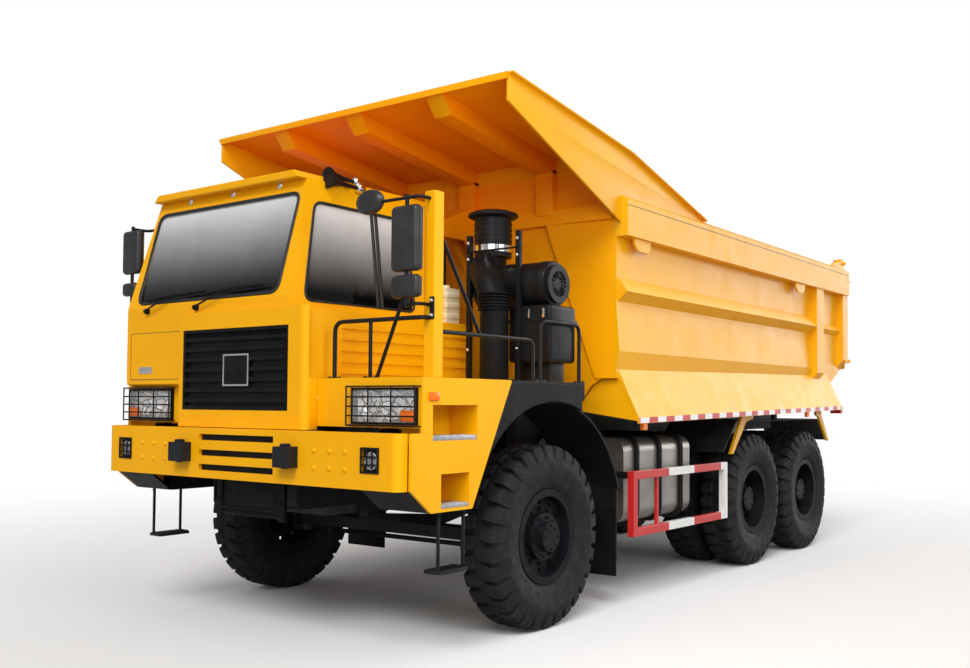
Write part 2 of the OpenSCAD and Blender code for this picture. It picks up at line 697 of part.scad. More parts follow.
module tyres_mid_left() color(rubber) twin_tyres(mid_y);
module tyres_mid_right() color(rubber) mirror([1, 0, 0]) twin_tyres(mid_y);
module tyres_rear_left() color(rubber) twin_tyres(rear_y);
module tyres_rear_right() color(rubber) mirror([1, 0, 0]) twin_tyres(rear_y);

// bed floor on cross beams and two sills, with the tipping hinge at the rear
function cross_y(i) = bed_front_y + 195 + i * (tip_y - bed_front_y - 355) / 6;
module bed_floor() color(amber) {
    w = bed_in - seat;
    z0 = floor_z - 25;
    side_plate(-w, w, [[bed_front_y + 30 + seat, z0], [tip_y + 90, z0], [bed_rear_y, z0 + 222],
        [bed_rear_y, floor_z + 222], [tip_y + 84, floor_z], [bed_front_y + 30 + seat, floor_z]]);
    for (i = [0 : 6]) block([-1300, cross_y(i), z0 - 200], [1300, cross_y(i) + 120, z0 + 1]);
    both() {
        block([rail_x - 100, cross_y(0) - 100, beam_z], [rail_x, tip_y - 110, z0 + 1]);
        for (x = [360, 450]) {
            bar_x(x, x + 35, tip_y, tip_z, 70);
            block([x, tip_y - 70, tip_z], [x + 35, tip_y + 70, z0 + 1]);
        }
        bar_x(360, 485, tip_y, tip_z, tip_pin_r);
    }
}

// the sloping skirts rise a little towards the rear
module skirt_place() translate([0, bed_front_y + 45, floor_z - 383]) rotate([1.2, 0, 0]) children();
// upright stake on the side wall, bevelled at its foot
module stake(a, b, z) front_bar(a, b, [[bed_x - 1, z], [bed_x + 90, z + 100],
    [bed_x + 90, bed_rail_z - 339],
    [bed_x - 1, bed_rail_z - 339]]);
// side wall with top rail, long rib, stakes, sloping skirt and the tailgate's ear
module bed_side() {
    y0 = bed_front_y;
    y1 = bed_rear_y;
    side_plate(bed_in, bed_x, [[y0, floor_z - 60], [y1 - 525, floor_z - 60], [y1, floor_z + 200],
        [y1, bed_rail_z - 10], [y0, bed_rail_z - 10]]);
    front_bar(y0, y1, [[bed_in, bed_rail_z - 340], [bed_rail_x, bed_rail_z - 340],
        [bed_rail_x, bed_rail_z - 40],
        [canopy_x, bed_rail_z], [bed_in, bed_rail_z]]);
    // long rib, its shallow end between the stakes, and the wall's bent lower edge
    front_bar(y0 + 25, y1 - 1100, [[bed_x - 1, floor_z + 580], [bed_x + 90, floor_z + 660],
        [bed_x - 1, floor_z + 780]]);
    front_bar(y1 - 880, y1 - 170, [[bed_x - 1, floor_z + 600], [bed_x + 45, floor_z + 660],
        [bed_x - 1, floor_z + 720]]);
    front_bar(y0, y1 - 1100, [[bed_x - 1, floor_z + 12], [bed_x + 30, floor_z + 165],
        [bed_x - 1, floor_z + 560]]);
    stake(y1 - 1105, y1 - 875, floor_z + 10);
    stake(y1 - 175, y1, floor_z + 200);
    // lifting lugs under the rail
    for (y = [y0 + 165, y0 + 3825]) side_plate(bed_x + 60, bed_x + 85, [[y, bed_rail_z - 339],
        [y, bed_rail_z - 390], [y + 60, bed_rail_z - 445], [y + 220, bed_rail_z - 445],
            [y + 270, bed_rail_z - 400],
        [y + 270, bed_rail_z - 339]]);
    // arms down to the ends of the mudguard
    side_plate(guard_x + seat, bed_x, [[mid_y - 340, floor_z - 59], [mid_y - 60, floor_z - 59],
        [mid_y - 60, 1530],
        [mid_y - 240, 1500], [mid_y - 560, 1180], [mid_y - 620, 1180], [mid_y - 340, 1560]]);
    side_plate(guard_x + seat, bed_x, [[rear_y + 330, floor_z - 59], [rear_y + 480, floor_z - 59],
        [rear_y + 500, 1560],
        [rear_y + 760, 1240], [rear_y + 700, 1240], [rear_y + 420, 1530], [rear_y + 330, 1560]]);
    // plate that closes the front of the skirt
    front_bar(y0 + 46, y0 + 60, [[bed_x - 1, floor_z + 7], [skirt_x - 5, floor_z - 383],
        [skirt_x - 5, floor_z - 413],
        [bed_x - 424, floor_z - 332], [bed_x - 248, floor_z - 119], [bed_x - 148, floor_z - 63],
            [bed_x - 1, floor_z - 63]]);
    skirt_place() {
        front_bar(0, skirt_l, [[bed_x - 1, 395], [skirt_x, 0], [skirt_x, -50], [skirt_x - 14, -50],
            [skirt_x - 14, -6], [bed_x - 1, 368]]);
        for (y = [0, 1600, 3200, skirt_l - 15])
            front_bar(y, y + 15, [[bed_x - 1, 390], [skirt_x - 5, 0], [skirt_x - 10, -20],
                [bed_x - 1, 325]]);
    }
    difference() {
        side_plate(bed_in + 5, bed_in + 45, [[gate_y - 70, bed_rail_z - 1], [y1, bed_rail_z - 1],
            [y1, gate_z + 20],
            [gate_y + 20, gate_z + 55], [gate_y - 20, gate_z + 55], [gate_y - 70, gate_z]]);
        bar_x(bed_in, bed_in + 50, gate_y, gate_z, gate_pin_r + run);
    }
}
module bed_side_left() color(amber) bed_side();
module bed_side_right() color(amber) mirror([1, 0, 0]) bed_side();

// front wall with its ribs, the canopy over the cab and the hoist's bracket
module bed_front() color(amber) {
    w = bed_in - seat;
    y0 = bed_front_y;
    cut = y0 - seat;
    block([-w, y0, floor_z - 60], [w, y0 + 30, wall_top + 22]);
    for (x = [-1000, -500, 500, 1000]) block([x - 40, y0 - 75, floor_z - 60],
        [x + 40, y0 + 1, wall_top - 63]);
    block([-w, y0 - 60, wall_top - 283], [w, y0 + 1, wall_top - 183]);
    side_plate(-canopy_x + 1, canopy_x - 1, [[canopy_front, canopy_lip], [cut, wall_top],
        [cut, wall_top + 22],
        [canopy_front, canopy_lip + 22]]);
    block([-w, cut - 5, wall_top - 30], [w, y0 + 1, wall_top + 22]);
    both() side_plate(canopy_x - 20, canopy_x, [[canopy_front, canopy_z], [canopy_front, canopy_lip],
        [cut, wall_top],
        [cut, bed_rail_z + seat], [2560, bed_rail_z + seat], [2560, bed_rail_z + 5],
        [cut, max(bed_rail_z + 20, canopy_edge(cut))]]);
    block([-canopy_x, canopy_front - 15, canopy_lip], [canopy_x, canopy_front + 5, canopy_z]);
    for (x = [-800, 0, 800]) side_plate(x - 30, x + 30, [[canopy_front + 40, canopy_lip - 30],
        [y0 - 20, wall_top - 90],
        [y0 - 20, wall_top + 10], [canopy_front + 40, canopy_lip - 5]]);
    // corner plates, slanting back to the side walls
    both() intersection() {
        front_bar(y0 - 80, y0 + 1, [[bed_x - 677, wall_top], [bed_x - 200, floor_z - 60],
            [w, floor_z - 60], [w, wall_top]]);
        translate([w, y0, 0]) rotate([0, 0, 5]) block([-1000, 0, floor_z - 100], [50, 300, wall_top + 100]);
    }
    // ears for the hoist's eye, hung under the canopy and braced to the wall
    both() side_plate(62, 92, [[hoist_y - 60, hoist_eye_z - 60],
        [hoist_y - 60, canopy_under(hoist_y - 60) + 5],
        [y0 + 1, wall_top + 5], [y0 + 1, hoist_eye_z - 300], [y0 - 180, hoist_eye_z - 60]]);
}
// top edge of the canopy's side plate and underside of the canopy sheet at y
function canopy_edge(y) = canopy_z + (bed_rail_z + 5 - canopy_z) * (y - canopy_front) / (2560 -
    canopy_front);
function canopy_under(y) = wall_top + (canopy_lip - wall_top) * (bed_front_y - y) / (bed_front_y -
    canopy_front);

// mudguards over the rear wheels, hung from the bed's cross beams
module mudguards() color(black) both() {
    z = 1500;
    t = 12;
    side_plate(780, guard_x, [[mid_y - 730, 1200], [mid_y - 420, z], [rear_y + 440, z],
        [rear_y + 720, 1250],
        [rear_y + 728, 1260], [rear_y + 446, z + t], [mid_y - 426, z + t], [mid_y - 738, 1210]]);
    for (i = [3, 5]) block([1200, cross_y(i), z + 1], [1260, cross_y(i) + 100, floor_z - 225 - seat]);
}

// tail lamps on the rear ends of the skirts and marker lamps under their edges
module bed_lamps() color([0.7, 0.12, 0.03]) both() skirt_place() {
    block([skirt_x - 140, skirt_l + seat, -95], [skirt_x - 10, skirt_l + 65, -5]);
    for (y = [90, 3840]) block([skirt_x - 40, y, -106], [skirt_x - 4, y + 60, -50 - seat]);
}

// tailgate hung from two pins at its top
module tailgate() color(amber) {
    y0 = bed_rear_y + pass;
    block([-1600, y0, floor_z + 190], [1600, y0 + 25, bed_rail_z - 15]);
    for (z = [floor_z + 300, (floor_z + bed_rail_z) / 2 + 70, bed_rail_z - 170])
        block([-1560, y0 + 24, z], [1560, rear_end, z + 100]);
    both() {
        side_plate(bed_in - 40, bed_in - pass + 4, [[y0, bed_rail_z - 110], [y0 + 25, bed_rail_z - 110],
            [y0 + 25, bed_rail_z - 10], [gate_y + 30, gate_z + 50], [gate_y - 30, gate_z + 50],
            [gate_y - 30, gate_z - 40], [y0, bed_rail_z - 20]]);
        bar_x(bed_in - 40, bed_in + 50, gate_y, gate_z, gate_pin_r);
    }
}

// telescopic hoist behind the cab: barrel, two stages and the rod
module hoist_tube(r, wall, z0, z1) difference() {
    bar_z(z0, z1, 0, hoist_y, r);
    bar_z(z0 + 40, z1 + 1, 0, hoist_y, r - wall);
}
module hoist_barrel() color(steel) difference() {
    union() {
        hoist_tube(110, 12, hoist_z + 70, hoist_eye_z - 170);
        bar_x(-70, 70, hoist_y, hoist_z, 62);
        block([-70, hoist_y - 62, hoist_z], [70, hoist_y + 62, hoist_z + 80]);
    }
    bar_x(-71, 71, hoist_y, hoist_z, 35 + run);
}
module hoist_stage_1() color(silver) hoist_tube(98 - run, 12, hoist_z + 111, hoist_eye_z - 140);
module hoist_stage_2() color(silver) hoist_tube(86 - 2 * run, 12, hoist_z + 152, hoist_eye_z - 110);
module hoist_rod() color(silver) {
    bar_z(hoist_z + 193, hoist_eye_z, 0, hoist_y, 55);
    bar_z(hoist_z + 193, hoist_z + 240, 0, hoist_y, 74 - 3 * run);
    bar_z(hoist_eye_z - 145, hoist_eye_z - 110, 0, hoist_y, 74 - 3 * run);
    bar_x(-50, 50, hoist_y, hoist_eye_z, 55);
}

at_origin() front_beam();
at_origin() rail_left();
at_origin() rail_right();
at_origin() cross_members();
at_origin() bumper();
at_origin() fender_left();
at_origin() fender_right();
at_origin() wheel_arches();
at_origin() steps();
at_origin() handrails();
at_origin() mirror_post();
at_origin() mirrors();
at_origin() cab_shell();
at_origin() cab_roof();
at_origin() cab_glass();
at_origin() engine_cover();
at_origin() grille();
at_origin() engine();
at_origin() seats();
at_origin() dash();
at_origin() air_cleaner();
at_origin() expansion_tank();
at_origin() fuel_tank();
at_origin() hydraulic_tank();
at_origin() side_guards();
at_origin() front_axle();
at_origin() rear_bogie();
at_origin() driveline();
at_origin() headlamps();
at_origin() door();
at_origin() door_glass();
at_origin() knuckle_left();
at_origin() knuckle_right();
at_origin() tie_rod();
at_origin() rim_front_left();
at_origin() tyre_front_left();
at_origin() rim_front_right();
at_origin() tyre_front_right();
at_origin() rims_mid_left();
at_origin() tyres_mid_left();
at_origin() rims_mid_right();
at_origin() tyres_mid_right();
at_origin() rims_rear_left();
at_origin() tyres_rear_left();
at_origin() rims_rear_right();
at_origin() tyres_rear_right();
at_origin() bed_floor();
at_origin() bed_side_left();
at_origin() bed_side_right();
at_origin() bed_front();
at_origin() mudguards();
at_origin() bed_lamps();
at_origin() tailgate();
at_origin() hoist_barrel();
at_origin() hoist_stage_1();
at_origin() hoist_stage_2();
at_origin() hoist_rod();
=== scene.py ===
import math

import bmesh
import bpy
from mathutils import Matrix, Vector


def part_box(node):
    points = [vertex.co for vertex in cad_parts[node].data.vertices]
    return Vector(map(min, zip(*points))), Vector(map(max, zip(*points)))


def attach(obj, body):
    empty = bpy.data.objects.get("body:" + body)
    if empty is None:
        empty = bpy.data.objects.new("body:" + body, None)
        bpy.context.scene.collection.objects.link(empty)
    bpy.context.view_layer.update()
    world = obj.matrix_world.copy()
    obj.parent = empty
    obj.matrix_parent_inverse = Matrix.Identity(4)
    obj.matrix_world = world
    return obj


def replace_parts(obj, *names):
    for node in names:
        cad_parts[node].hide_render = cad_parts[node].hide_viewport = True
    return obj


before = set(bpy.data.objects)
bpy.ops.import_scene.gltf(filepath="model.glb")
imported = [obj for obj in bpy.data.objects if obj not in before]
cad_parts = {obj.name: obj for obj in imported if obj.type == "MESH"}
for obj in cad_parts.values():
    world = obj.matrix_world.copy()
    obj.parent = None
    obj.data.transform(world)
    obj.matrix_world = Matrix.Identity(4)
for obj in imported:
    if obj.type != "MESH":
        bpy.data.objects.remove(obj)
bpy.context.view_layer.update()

# Camera. It stands off the truck's front left corner at a standing person's eye height
# and looks a little upwards, so that the bed's lip towers over the cab.
near_low, near_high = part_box("tyre_front_left")
axle_y = (near_low.y + near_high.y) / 2


def spot(x, y, z):
    """A place on the truck in metres, counted along it from the front axle."""
    return Vector((x, y + axle_y, z))


yaw, pitch, roll = (math.radians(angle) for angle in (35.926, 2.147, 0.331))
ahead = Vector((-math.sin(yaw) * math.cos(pitch), math.cos(yaw) * math.cos(pitch), math.sin(pitch)))
level = Vector((math.cos(yaw), math.sin(yaw), 0))
above = level.cross(ahead)
across = level * math.cos(roll) + above * math.sin(roll)
upright = above * math.cos(roll) - level * math.sin(roll)
lens = bpy.data.cameras.new("eye")
lens.sensor_width = 36.0
lens.lens = 37.158
lens.shift_x = -0.0439
lens.shift_y = 0.0328
lens.clip_end = 300.0
camera = bpy.data.objects.new("eye", lens)
camera.matrix_world = Matrix.Translation(spot(5.8206, -6.174, 1.6775)) @ Matrix(
    (across, upright, -ahead)).transposed().to_4x4()
shop = bpy.context.scene
shop.collection.objects.link(camera)
shop.camera = camera
shop.view_settings.view_transform = "Standard"


# Studio. A pale floor that runs out into white, a bright dome overhead, one large soft lamp
# from the front left with low fills beside it, and a broad glow from the rear along the flank.
def start_finish(name):
    """An empty shader, with the piece's own coordinates in metres."""
    finish = bpy.data.materials.new(name)
    finish.use_nodes = True
    tree = finish.node_tree
    place = tree.nodes.new("ShaderNodeTexCoord").outputs["Object"]
    return finish, tree, tree.nodes["Principled BSDF"], place


def between(tree, value, start, end, low, high):
    """A value between start and end, drawn out to low and high."""
    node = tree.nodes.new("ShaderNodeMapRange")
    for socket, number in zip(("From Min", "From Max", "To Min", "To Max"), (start, end, low, high)):
        node.inputs[socket].default_value = number
    tree.links.new(value, node.inputs["Value"])
    return node.outputs["Result"]


def sum_of(tree, way, first, second=0.0):
    """Two values put together by a named way of reckoning."""
    node = tree.nodes.new("ShaderNodeMath")
    node.operation = way
    for socket, value in zip(node.inputs, (first, second)):
        if isinstance(value, float):
            socket.default_value = value
        else:
            tree.links.new(value, socket)
    return node.outputs["Value"]


def blend(tree, share, first, second, end):
    """Passes from one shader to another at the tree's end."""
    mix = tree.nodes.new("ShaderNodeMixShader")
    for socket, value in zip(mix.inputs, (share, first, second)):
        tree.links.new(value, socket)
    tree.links.new(mix.outputs["Shader"], tree.nodes[end].inputs["Surface"])


def stage_floor():
    """A round floor, pale and matt near the truck, plain white far off, that throws little light back up."""
    bm = bmesh.new()
    bmesh.ops.create_circle(bm, cap_ends=True, segments=96, radius=90.0)
    mesh = bpy.data.meshes.new("floor")
    bm.to_mesh(mesh)
    bm.free()
    floor = bpy.data.objects.new("floor", mesh)
    shop.collection.objects.link(floor)
    finish, tree, pale, place = start_finish("studio_floor")
    seen = tree.nodes.new("ShaderNodeLightPath").outputs["Is Camera Ray"]
    tree.links.new(between(tree, seen, 0.0, 1.0, 0.42, 0.90), pale.inputs["Base Color"])
    pale.inputs["Roughness"].default_value = 0.9
    pale.inputs["Specular IOR Level"].default_value = 0.1
    reach = tree.nodes.new("ShaderNodeVectorMath")
    reach.operation = "LENGTH"
    tree.links.new(place, reach.inputs[0])
    fade = between(tree, reach.outputs["Value"], 4.5, 13.0, 0.0, 1.0)
    fade.node.interpolation_type = "SMOOTHSTEP"
    white = tree.nodes.new("ShaderNodeEmission").outputs["Emission"]
    blend(tree, sum_of(tree, "MULTIPLY", fade, seen), pale.outputs["BSDF"], white, "Material Output")
    mesh.materials.append(finish)


def white_dome(strength):
    """White all round for what is seen, also through glass, and a plain level of light for the rest."""
    world = bpy.data.worlds.new("dome")
    shop.world = world
    world.use_nodes = True
    tree = world.node_tree
    lit, seen = tree.nodes["Background"], tree.nodes.new("ShaderNodeBackground")
    for sky, level in ((lit, strength), (seen, 1.0)):
        sky.inputs["Color"].default_value = (1, 1, 1, 1)
        sky.inputs["Strength"].default_value = level
    path = tree.nodes.new("ShaderNodeLightPath").outputs
    either = sum_of(tree, "MAXIMUM", path["Is Camera Ray"], path["Is Transmission Ray"])
    blend(tree, either, lit.outputs["Background"], seen.outputs["Background"], "World Output")


def soft_sun(name, toward, strength, spread):
    """One broad lamp, far away, whose light runs along a direction."""
    data = bpy.data.lights.new(name, "SUN")
    data.energy = strength
    data.angle = math.radians(spread)
    lamp = bpy.data.objects.new(name, data)
    lamp.rotation_euler = Vector(toward).to_track_quat("-Z", "Y").to_euler()
    shop.collection.objects.link(lamp)


def soft_box(name, at, aim, side, strength):
    """One square lamp with a cloth front, near the truck and out of sight."""
    data = bpy.data.lights.new(name, "AREA")
    data.energy = strength
    data.size = side
    lamp = bpy.data.objects.new(name, data)
    lamp.location = spot(*at)
    lamp.rotation_euler = (spot(*aim) - spot(*at)).to_track_quat("-Z", "Y").to_euler()
    lamp.visible_camera = lamp.visible_glossy = False
    shop.collection.objects.link(lamp)


stage_floor()
white_dome(0.34)
soft_box("wall_box", (4.6, -2.2, 3.3), (1.2, 0.9, 3.0), 1.6, 58.0)
soft_sun("key", (-0.35, 0.75, -0.8), 2.0, 30)
soft_sun("front_fill", (-0.48, 0.88, -0.03), 0.6, 40)
soft_sun("side_fill", (-0.9, 0.1, -0.35), 0.55, 50)
soft_sun("rear_glow", (-0.28, -0.90, -0.30), 1.1, 40)


# Chassis. A welded ladder frame with forged axles, springs, shafts and steering, all sprayed
# in one dark blue-black chassis paint that is dull and a little dusty.
def cloud(tree, place, scale, detail=4.0, stretch=(1, 1, 1)):
    """Soft mottling, stretched along an axis for runs and brushing."""
    spread = tree.nodes.new("ShaderNodeMapping")
    spread.inputs["Scale"].default_value = stretch
    noise = tree.nodes.new("ShaderNodeTexNoise")
    noise.inputs["Scale"].default_value = scale
    noise.inputs["Detail"].default_value = detail
    tree.links.new(place, spread.inputs["Vector"])
    tree.links.new(spread.outputs["Vector"], noise.inputs["Vector"])
    return noise.outputs["Fac"]


def two_tone(tree, share, first, second):
    """One colour passing into another; either may be a colour or another node's output."""
    node = tree.nodes.new("ShaderNodeMix")
    node.data_type = "RGBA"
    tree.links.new(share, node.inputs[0])
    for socket, colour in ((node.inputs[6], first), (node.inputs[7], second)):
        if isinstance(colour, tuple):
            socket.default_value = (*colour, 1)
        else:
            tree.links.new(colour, socket)
    return node.outputs[2]


def relief(tree, shader, height, depth):
    """Small unevenness of the surface, in metres."""
    node = tree.nodes.new("ShaderNodeBump")
    node.inputs["Strength"].default_value = 1.0
    node.inputs["Distance"].default_value = depth
    tree.links.new(height, node.inputs["Height"])
    tree.links.new(node.outputs["Normal"], shader.inputs["Normal"])


def part_of(tree, place, axis):
    """How far a point lies along one axis of the truck."""
    split = tree.nodes.new("ShaderNodeSeparateXYZ")
    tree.links.new(place, split.inputs["Vector"])
    return split.outputs[axis]


def sprayed(name, colour, shade, rough, gloss, dust=(0.05, 0.045, 0.04), dusty=0.2, shine=0.22, second=None):
    """Sprayed paint: faint clouds in the colour, orange peel, and dust low down.

    second = (where, colour) paints another colour over part of it; here it carries painted shade.
    """
    finish, tree, shader, place = start_finish(name)
    tone = two_tone(tree, between(tree, cloud(tree, place, 1.7), 0.35, 0.7, 0, 1), colour, shade)
    low = between(tree, part_of(tree, place, "Z"), 0.35, 1.5, dusty, 0.0)
    film = sum_of(tree, "MULTIPLY", low, between(tree, cloud(tree, place, 9.0, 6.0), 0.42, 0.62, 0.1, 1.0))
    tone = two_tone(tree, film, tone, dust)
    if second:
        tone = two_tone(tree, second[0](tree, place), tone, second[1])
    tree.links.new(tone, shader.inputs["Base Color"])
    tree.links.new(between(tree, cloud(tree, place, 6.0, 6.0), 0.3, 0.7, rough, rough + 0.16),
                   shader.inputs["Roughness"])
    relief(tree, shader, cloud(tree, place, 260.0, 2.0), 0.00025)
    shader.inputs["Specular IOR Level"].default_value = shine
    shader.inputs["Coat Weight"].default_value = gloss
    shader.inputs["Coat Roughness"].default_value = 0.2
    return finish


def coat(finish, *names):
    """Gives CAD pieces their finish."""
    for name in names:
        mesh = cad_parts[name].data
        mesh.materials.clear()
        mesh.materials.append(finish)


def ease_edges(width, *names):
    """Rounds the plate edges of CAD pieces a little, as cut and folded sheet is."""
    for name in names:
        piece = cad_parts[name]
        weld = piece.modifiers.new("weld", "WELD")
        weld.merge_threshold = 0.00005
        edge = piece.modifiers.new("edge", "BEVEL")
        edge.width = width
        edge.segments = 2
        edge.limit_method = "ANGLE"
        edge.angle_limit = math.radians(38)
        shine = piece.modifiers.new("shine", "WEIGHTED_NORMAL")
        shine.keep_sharp = True


chassis_paint = sprayed("chassis_paint", (0.008, 0.009, 0.011), (0.014, 0.015, 0.018), 0.46, 0.03)
coat(chassis_paint, "front_beam", "rail_left", "rail_right", "cross_members", "front_axle", "rear_bogie",
     "driveline", "knuckle_left", "knuckle_right", "tie_rod", "hydraulic_tank", "hoist_barrel")
ease_edges(0.004, "front_beam", "front_axle", "hydraulic_tank")


# Tyres. Cross-ply quarry rubber with thirty deep lugs on each shoulder, moulded in one piece
# on its beads; dull black, mottled a little paler in places.
def add_part(bm, part):
    """Adds a finished shape to the piece that is being made."""
    made = {corner: bm.verts.new(corner.co) for corner in part.verts}
    for face in part.faces:
        bm.faces.new([made[corner] for corner in face.verts])
    part.free()


def new_piece(name, bm, finish, body, crease=35):
    """Ends a piece that was made in metres from the front axle, and lets it move with a body."""
    bmesh.ops.recalc_face_normals(bm, faces=bm.faces)
    bmesh.ops.translate(bm, verts=bm.verts, vec=(0, axle_y, 0))
    mesh = bpy.data.meshes.new(name)
    bm.to_mesh(mesh)
    bm.free()
    mesh.shade_smooth()
    mesh.set_sharp_from_angle(angle=math.radians(crease))
    mesh.materials.append(finish)
    piece = bpy.data.objects.new(name, mesh)
    shop.collection.objects.link(piece)
    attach(piece, body)
    return piece


def mottled(name, first, second, clouds, rough=None, grain=None, start=0.35, **dials):
    """A plain material: two tones in clouds, uneven roughness (low, high) and a grain (depth).

    Each is followed by its cloud's scale, detail and stretch; dials are settings of the shader.
    """
    finish, tree, shader, place = start_finish(name)
    share = between(tree, cloud(tree, place, *clouds), start, 0.7, 0.0, 1.0)
    tree.links.new(two_tone(tree, share, first, second), shader.inputs["Base Color"])
    if rough:
        low, high, *pattern = rough
        dull = between(tree, cloud(tree, place, *pattern), 0.3, 0.7, low, high)
        tree.links.new(dull, shader.inputs["Roughness"])
    if grain:
        depth, *pattern = grain
        relief(tree, shader, cloud(tree, place, *pattern), depth)
    for dial, value in dials.items():
        shader.inputs[dial.replace("_", " ")].default_value = value
    return finish


tyre_rubber = mottled("tyre_rubber", (0.011, 0.010, 0.010), (0.021, 0.019, 0.018), (14.0, 8.0),
                      (0.62, 0.86, 22.0), (0.0008, 180.0, 5.0), 0.45, Specular_IOR_Level=0.3)
tyre_radius = (near_high.z - near_low.z) / 2
lug_count = 30
# half section from the crown to the bead: distance from the middle, radius, groove depth
half_section = ((0.000, 0.673, 0.0), (0.022, 0.673, 0.0), (0.031, 0.6840, 0.034), (0.090, 0.6840, 0.037),
                (0.130, 0.6815, 0.036), (0.1455, 0.672, 0.033), (0.157, 0.640, 0.026), (0.167, 0.605, 0.013),
                (0.178, 0.572, 0.003), (0.1845, 0.548, 0.0), (0.1870, 0.515, 0.0), (0.1840, 0.508, 0.0),
                (0.1835, 0.472, 0.0), (0.1805, 0.465, 0.0), (0.172, 0.415, 0.0), (0.158, 0.386, 0.0),
                (0.142, 0.371, 0.0), (0.137, 0.362, 0.0), (0.127, 0.357, 0.0), (0.126, 0.3186, 0.0))
# stations round one lug pitch: groove of one half, then groove of the other half
stations = (0.16, 0.34, 0.385, 0.615, 0.66, 0.84, 0.885, 1.115)


def add_tyre(bm, x, y, sign):
    """One tyre about the wheel's axis, with the lugs of its two halves in turn."""
    rows = [(-a, r, d) for a, r, d in reversed(half_section[1:])] + list(half_section)
    pitch = 2 * math.pi / lug_count
    rings = []
    for k, (a, r, d) in enumerate(rows):
        before = rows[max(k - 1, 0)]
        after = rows[min(k + 1, len(rows) - 1)]
        run = Vector((after[0] - before[0], after[1] - before[1])).normalized()
        slant = max(0.0, 1 - abs(a) / 0.15) * 0.16 * pitch
        grooved = (2, 3) if a > 0 else (6, 7)
        ring = []
        for lug in range(lug_count):
            for n, share in enumerate(stations):
                depth = d if n in grooved else 0.0
                radius = r - run.x * depth
                angle = (lug + share) * pitch + slant
                ring.append(bm.verts.new((x + sign * (a + run.y * depth), y + radius * math.sin(angle),
                                          tyre_radius + radius * math.cos(angle))))
        rings.append(ring)
    for first, second in zip(rings, rings[1:] + rings[:1]):
        for i in range(len(first)):
            j = (i + 1) % len(first)
            bm.faces.new((first[i], first[j], second[j], second[i]))


wheelbase = 3.820
bogie_gap = 1.490
front_track = 1.398
rear_track = 1.391
twin_gap = 0.450
axles = {"front": (0.0, (front_track,)), "mid": (wheelbase, (rear_track, rear_track - twin_gap)),
         "rear": (wheelbase + bogie_gap, (rear_track, rear_track - twin_gap))}
for axle, (y, offsets) in axles.items():
    for side, sign in (("left", 1), ("right", -1)):
        bm = bmesh.new()
        for offset in offsets:
            add_tyre(bm, sign * offset, y, sign)
        plural = "s" if len(offsets) > 1 else ""
        body = f"wheel_{axle}_{side}"
        tyre = new_piece(f"rubber_{axle}_{side}", bm, tyre_rubber, body, 32)
        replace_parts(tyre, f"tyre{plural}_{axle}_{side}")


# Rims and hubs. Rolled steel rims and cast hubs in the chassis colour, held by rings of
# nuts on studs in the same paint, with a bolted cap over each hub's gears.
def add_turned(bm, outline, base, axis, sides=24):
    """A turned shape from (along, radius) pairs about an axis."""
    axis = Vector(axis).normalized()
    one = axis.orthogonal().normalized()
    two = axis.cross(one)
    rings = []
    for along, radius in outline:
        middle = Vector(base) + axis * along
        if radius < 1e-6:
            rings.append([bm.verts.new(middle)])
            continue
        turns = [2 * math.pi * i / sides for i in range(sides)]
        rings.append([bm.verts.new(middle + (one * math.cos(t) + two * math.sin(t)) * radius) for t in turns])
    for first, second in zip(rings, rings[1:]):
        if len(first) == len(second) == 1:
            continue
        for i in range(sides):
            j = (i + 1) % sides
            if len(first) == 1:
                bm.faces.new((first[0], second[i], second[j]))
            elif len(second) == 1:
                bm.faces.new((first[i], first[j], second[0]))
            else:
                bm.faces.new((first[i], first[j], second[j], second[i]))


def add_rod(bm, base, axis, length, radius, sides=10):
    """A plain round bar from a point along an axis."""
    add_turned(bm, ((0, 0), (0, radius), (length, radius), (length, 0)), base, axis, sides)


def add_nut(bm, base, axis, size):
    """A hexagon nut on its washer, with the stud's end; size is the nut's half width."""
    s = size
    add_turned(bm, ((0, 0), (0, 1.35 * s), (0.22 * s, 1.35 * s), (0.25 * s, 1.25 * s), (0.25 * s, 0)),
               base, axis, 18)
    add_turned(bm, ((0.2 * s, 0), (0.2 * s, s), (1.0 * s, s), (1.2 * s, 0.82 * s), (1.2 * s, 0)),
               base, axis, 6)
    add_turned(bm, ((1.1 * s, 0), (1.1 * s, 0.5 * s), (1.65 * s, 0.5 * s), (1.75 * s, 0.4 * s),
                    (1.75 * s, 0)), base, axis, 12)


def nut_ring(bm, x, y, sign, radius, count, size, start=0.0):
    """Nuts on a pitch circle about a wheel's axis, facing outwards."""
    for n in range(count):
        angle = start + 2 * math.pi * n / count
        base = (sign * x, y + radius * math.sin(angle), tyre_radius + radius * math.cos(angle))
        add_nut(bm, base, (sign, 0, 0), size)


wheel_paint = sprayed("wheel_paint", (0.005, 0.006, 0.008), (0.009, 0.010, 0.013), 0.42, 0.0, shine=0.12)
rims = ("rim_front_left", "rim_front_right", "rims_mid_left", "rims_mid_right", "rims_rear_left",
        "rims_rear_right")
coat(wheel_paint, *rims)
ease_edges(0.004, *rims)
for axle, (y, offsets) in axles.items():
    for side, sign in (("left", 1), ("right", -1)):
        bm = bmesh.new()
        if axle == "front":
            nut_ring(bm, front_track + 0.066, y, sign, 0.205, 12, 0.017)
            nut_ring(bm, front_track + 0.120, y, sign, 0.145, 10, 0.012, 0.2)
            nut_ring(bm, front_track + 0.178, y, sign, 0.088, 8, 0.008)
        else:
            nut_ring(bm, rear_track - 0.061, y, sign, 0.228, 12, 0.017)
            nut_ring(bm, rear_track + 0.010, y, sign, 0.150, 10, 0.011, 0.2)
            nut_ring(bm, rear_track + 0.090, y, sign, 0.098, 8, 0.008)
        new_piece(f"wheel_nuts_{axle}_{side}", bm, wheel_paint, f"wheel_{axle}_{side}")


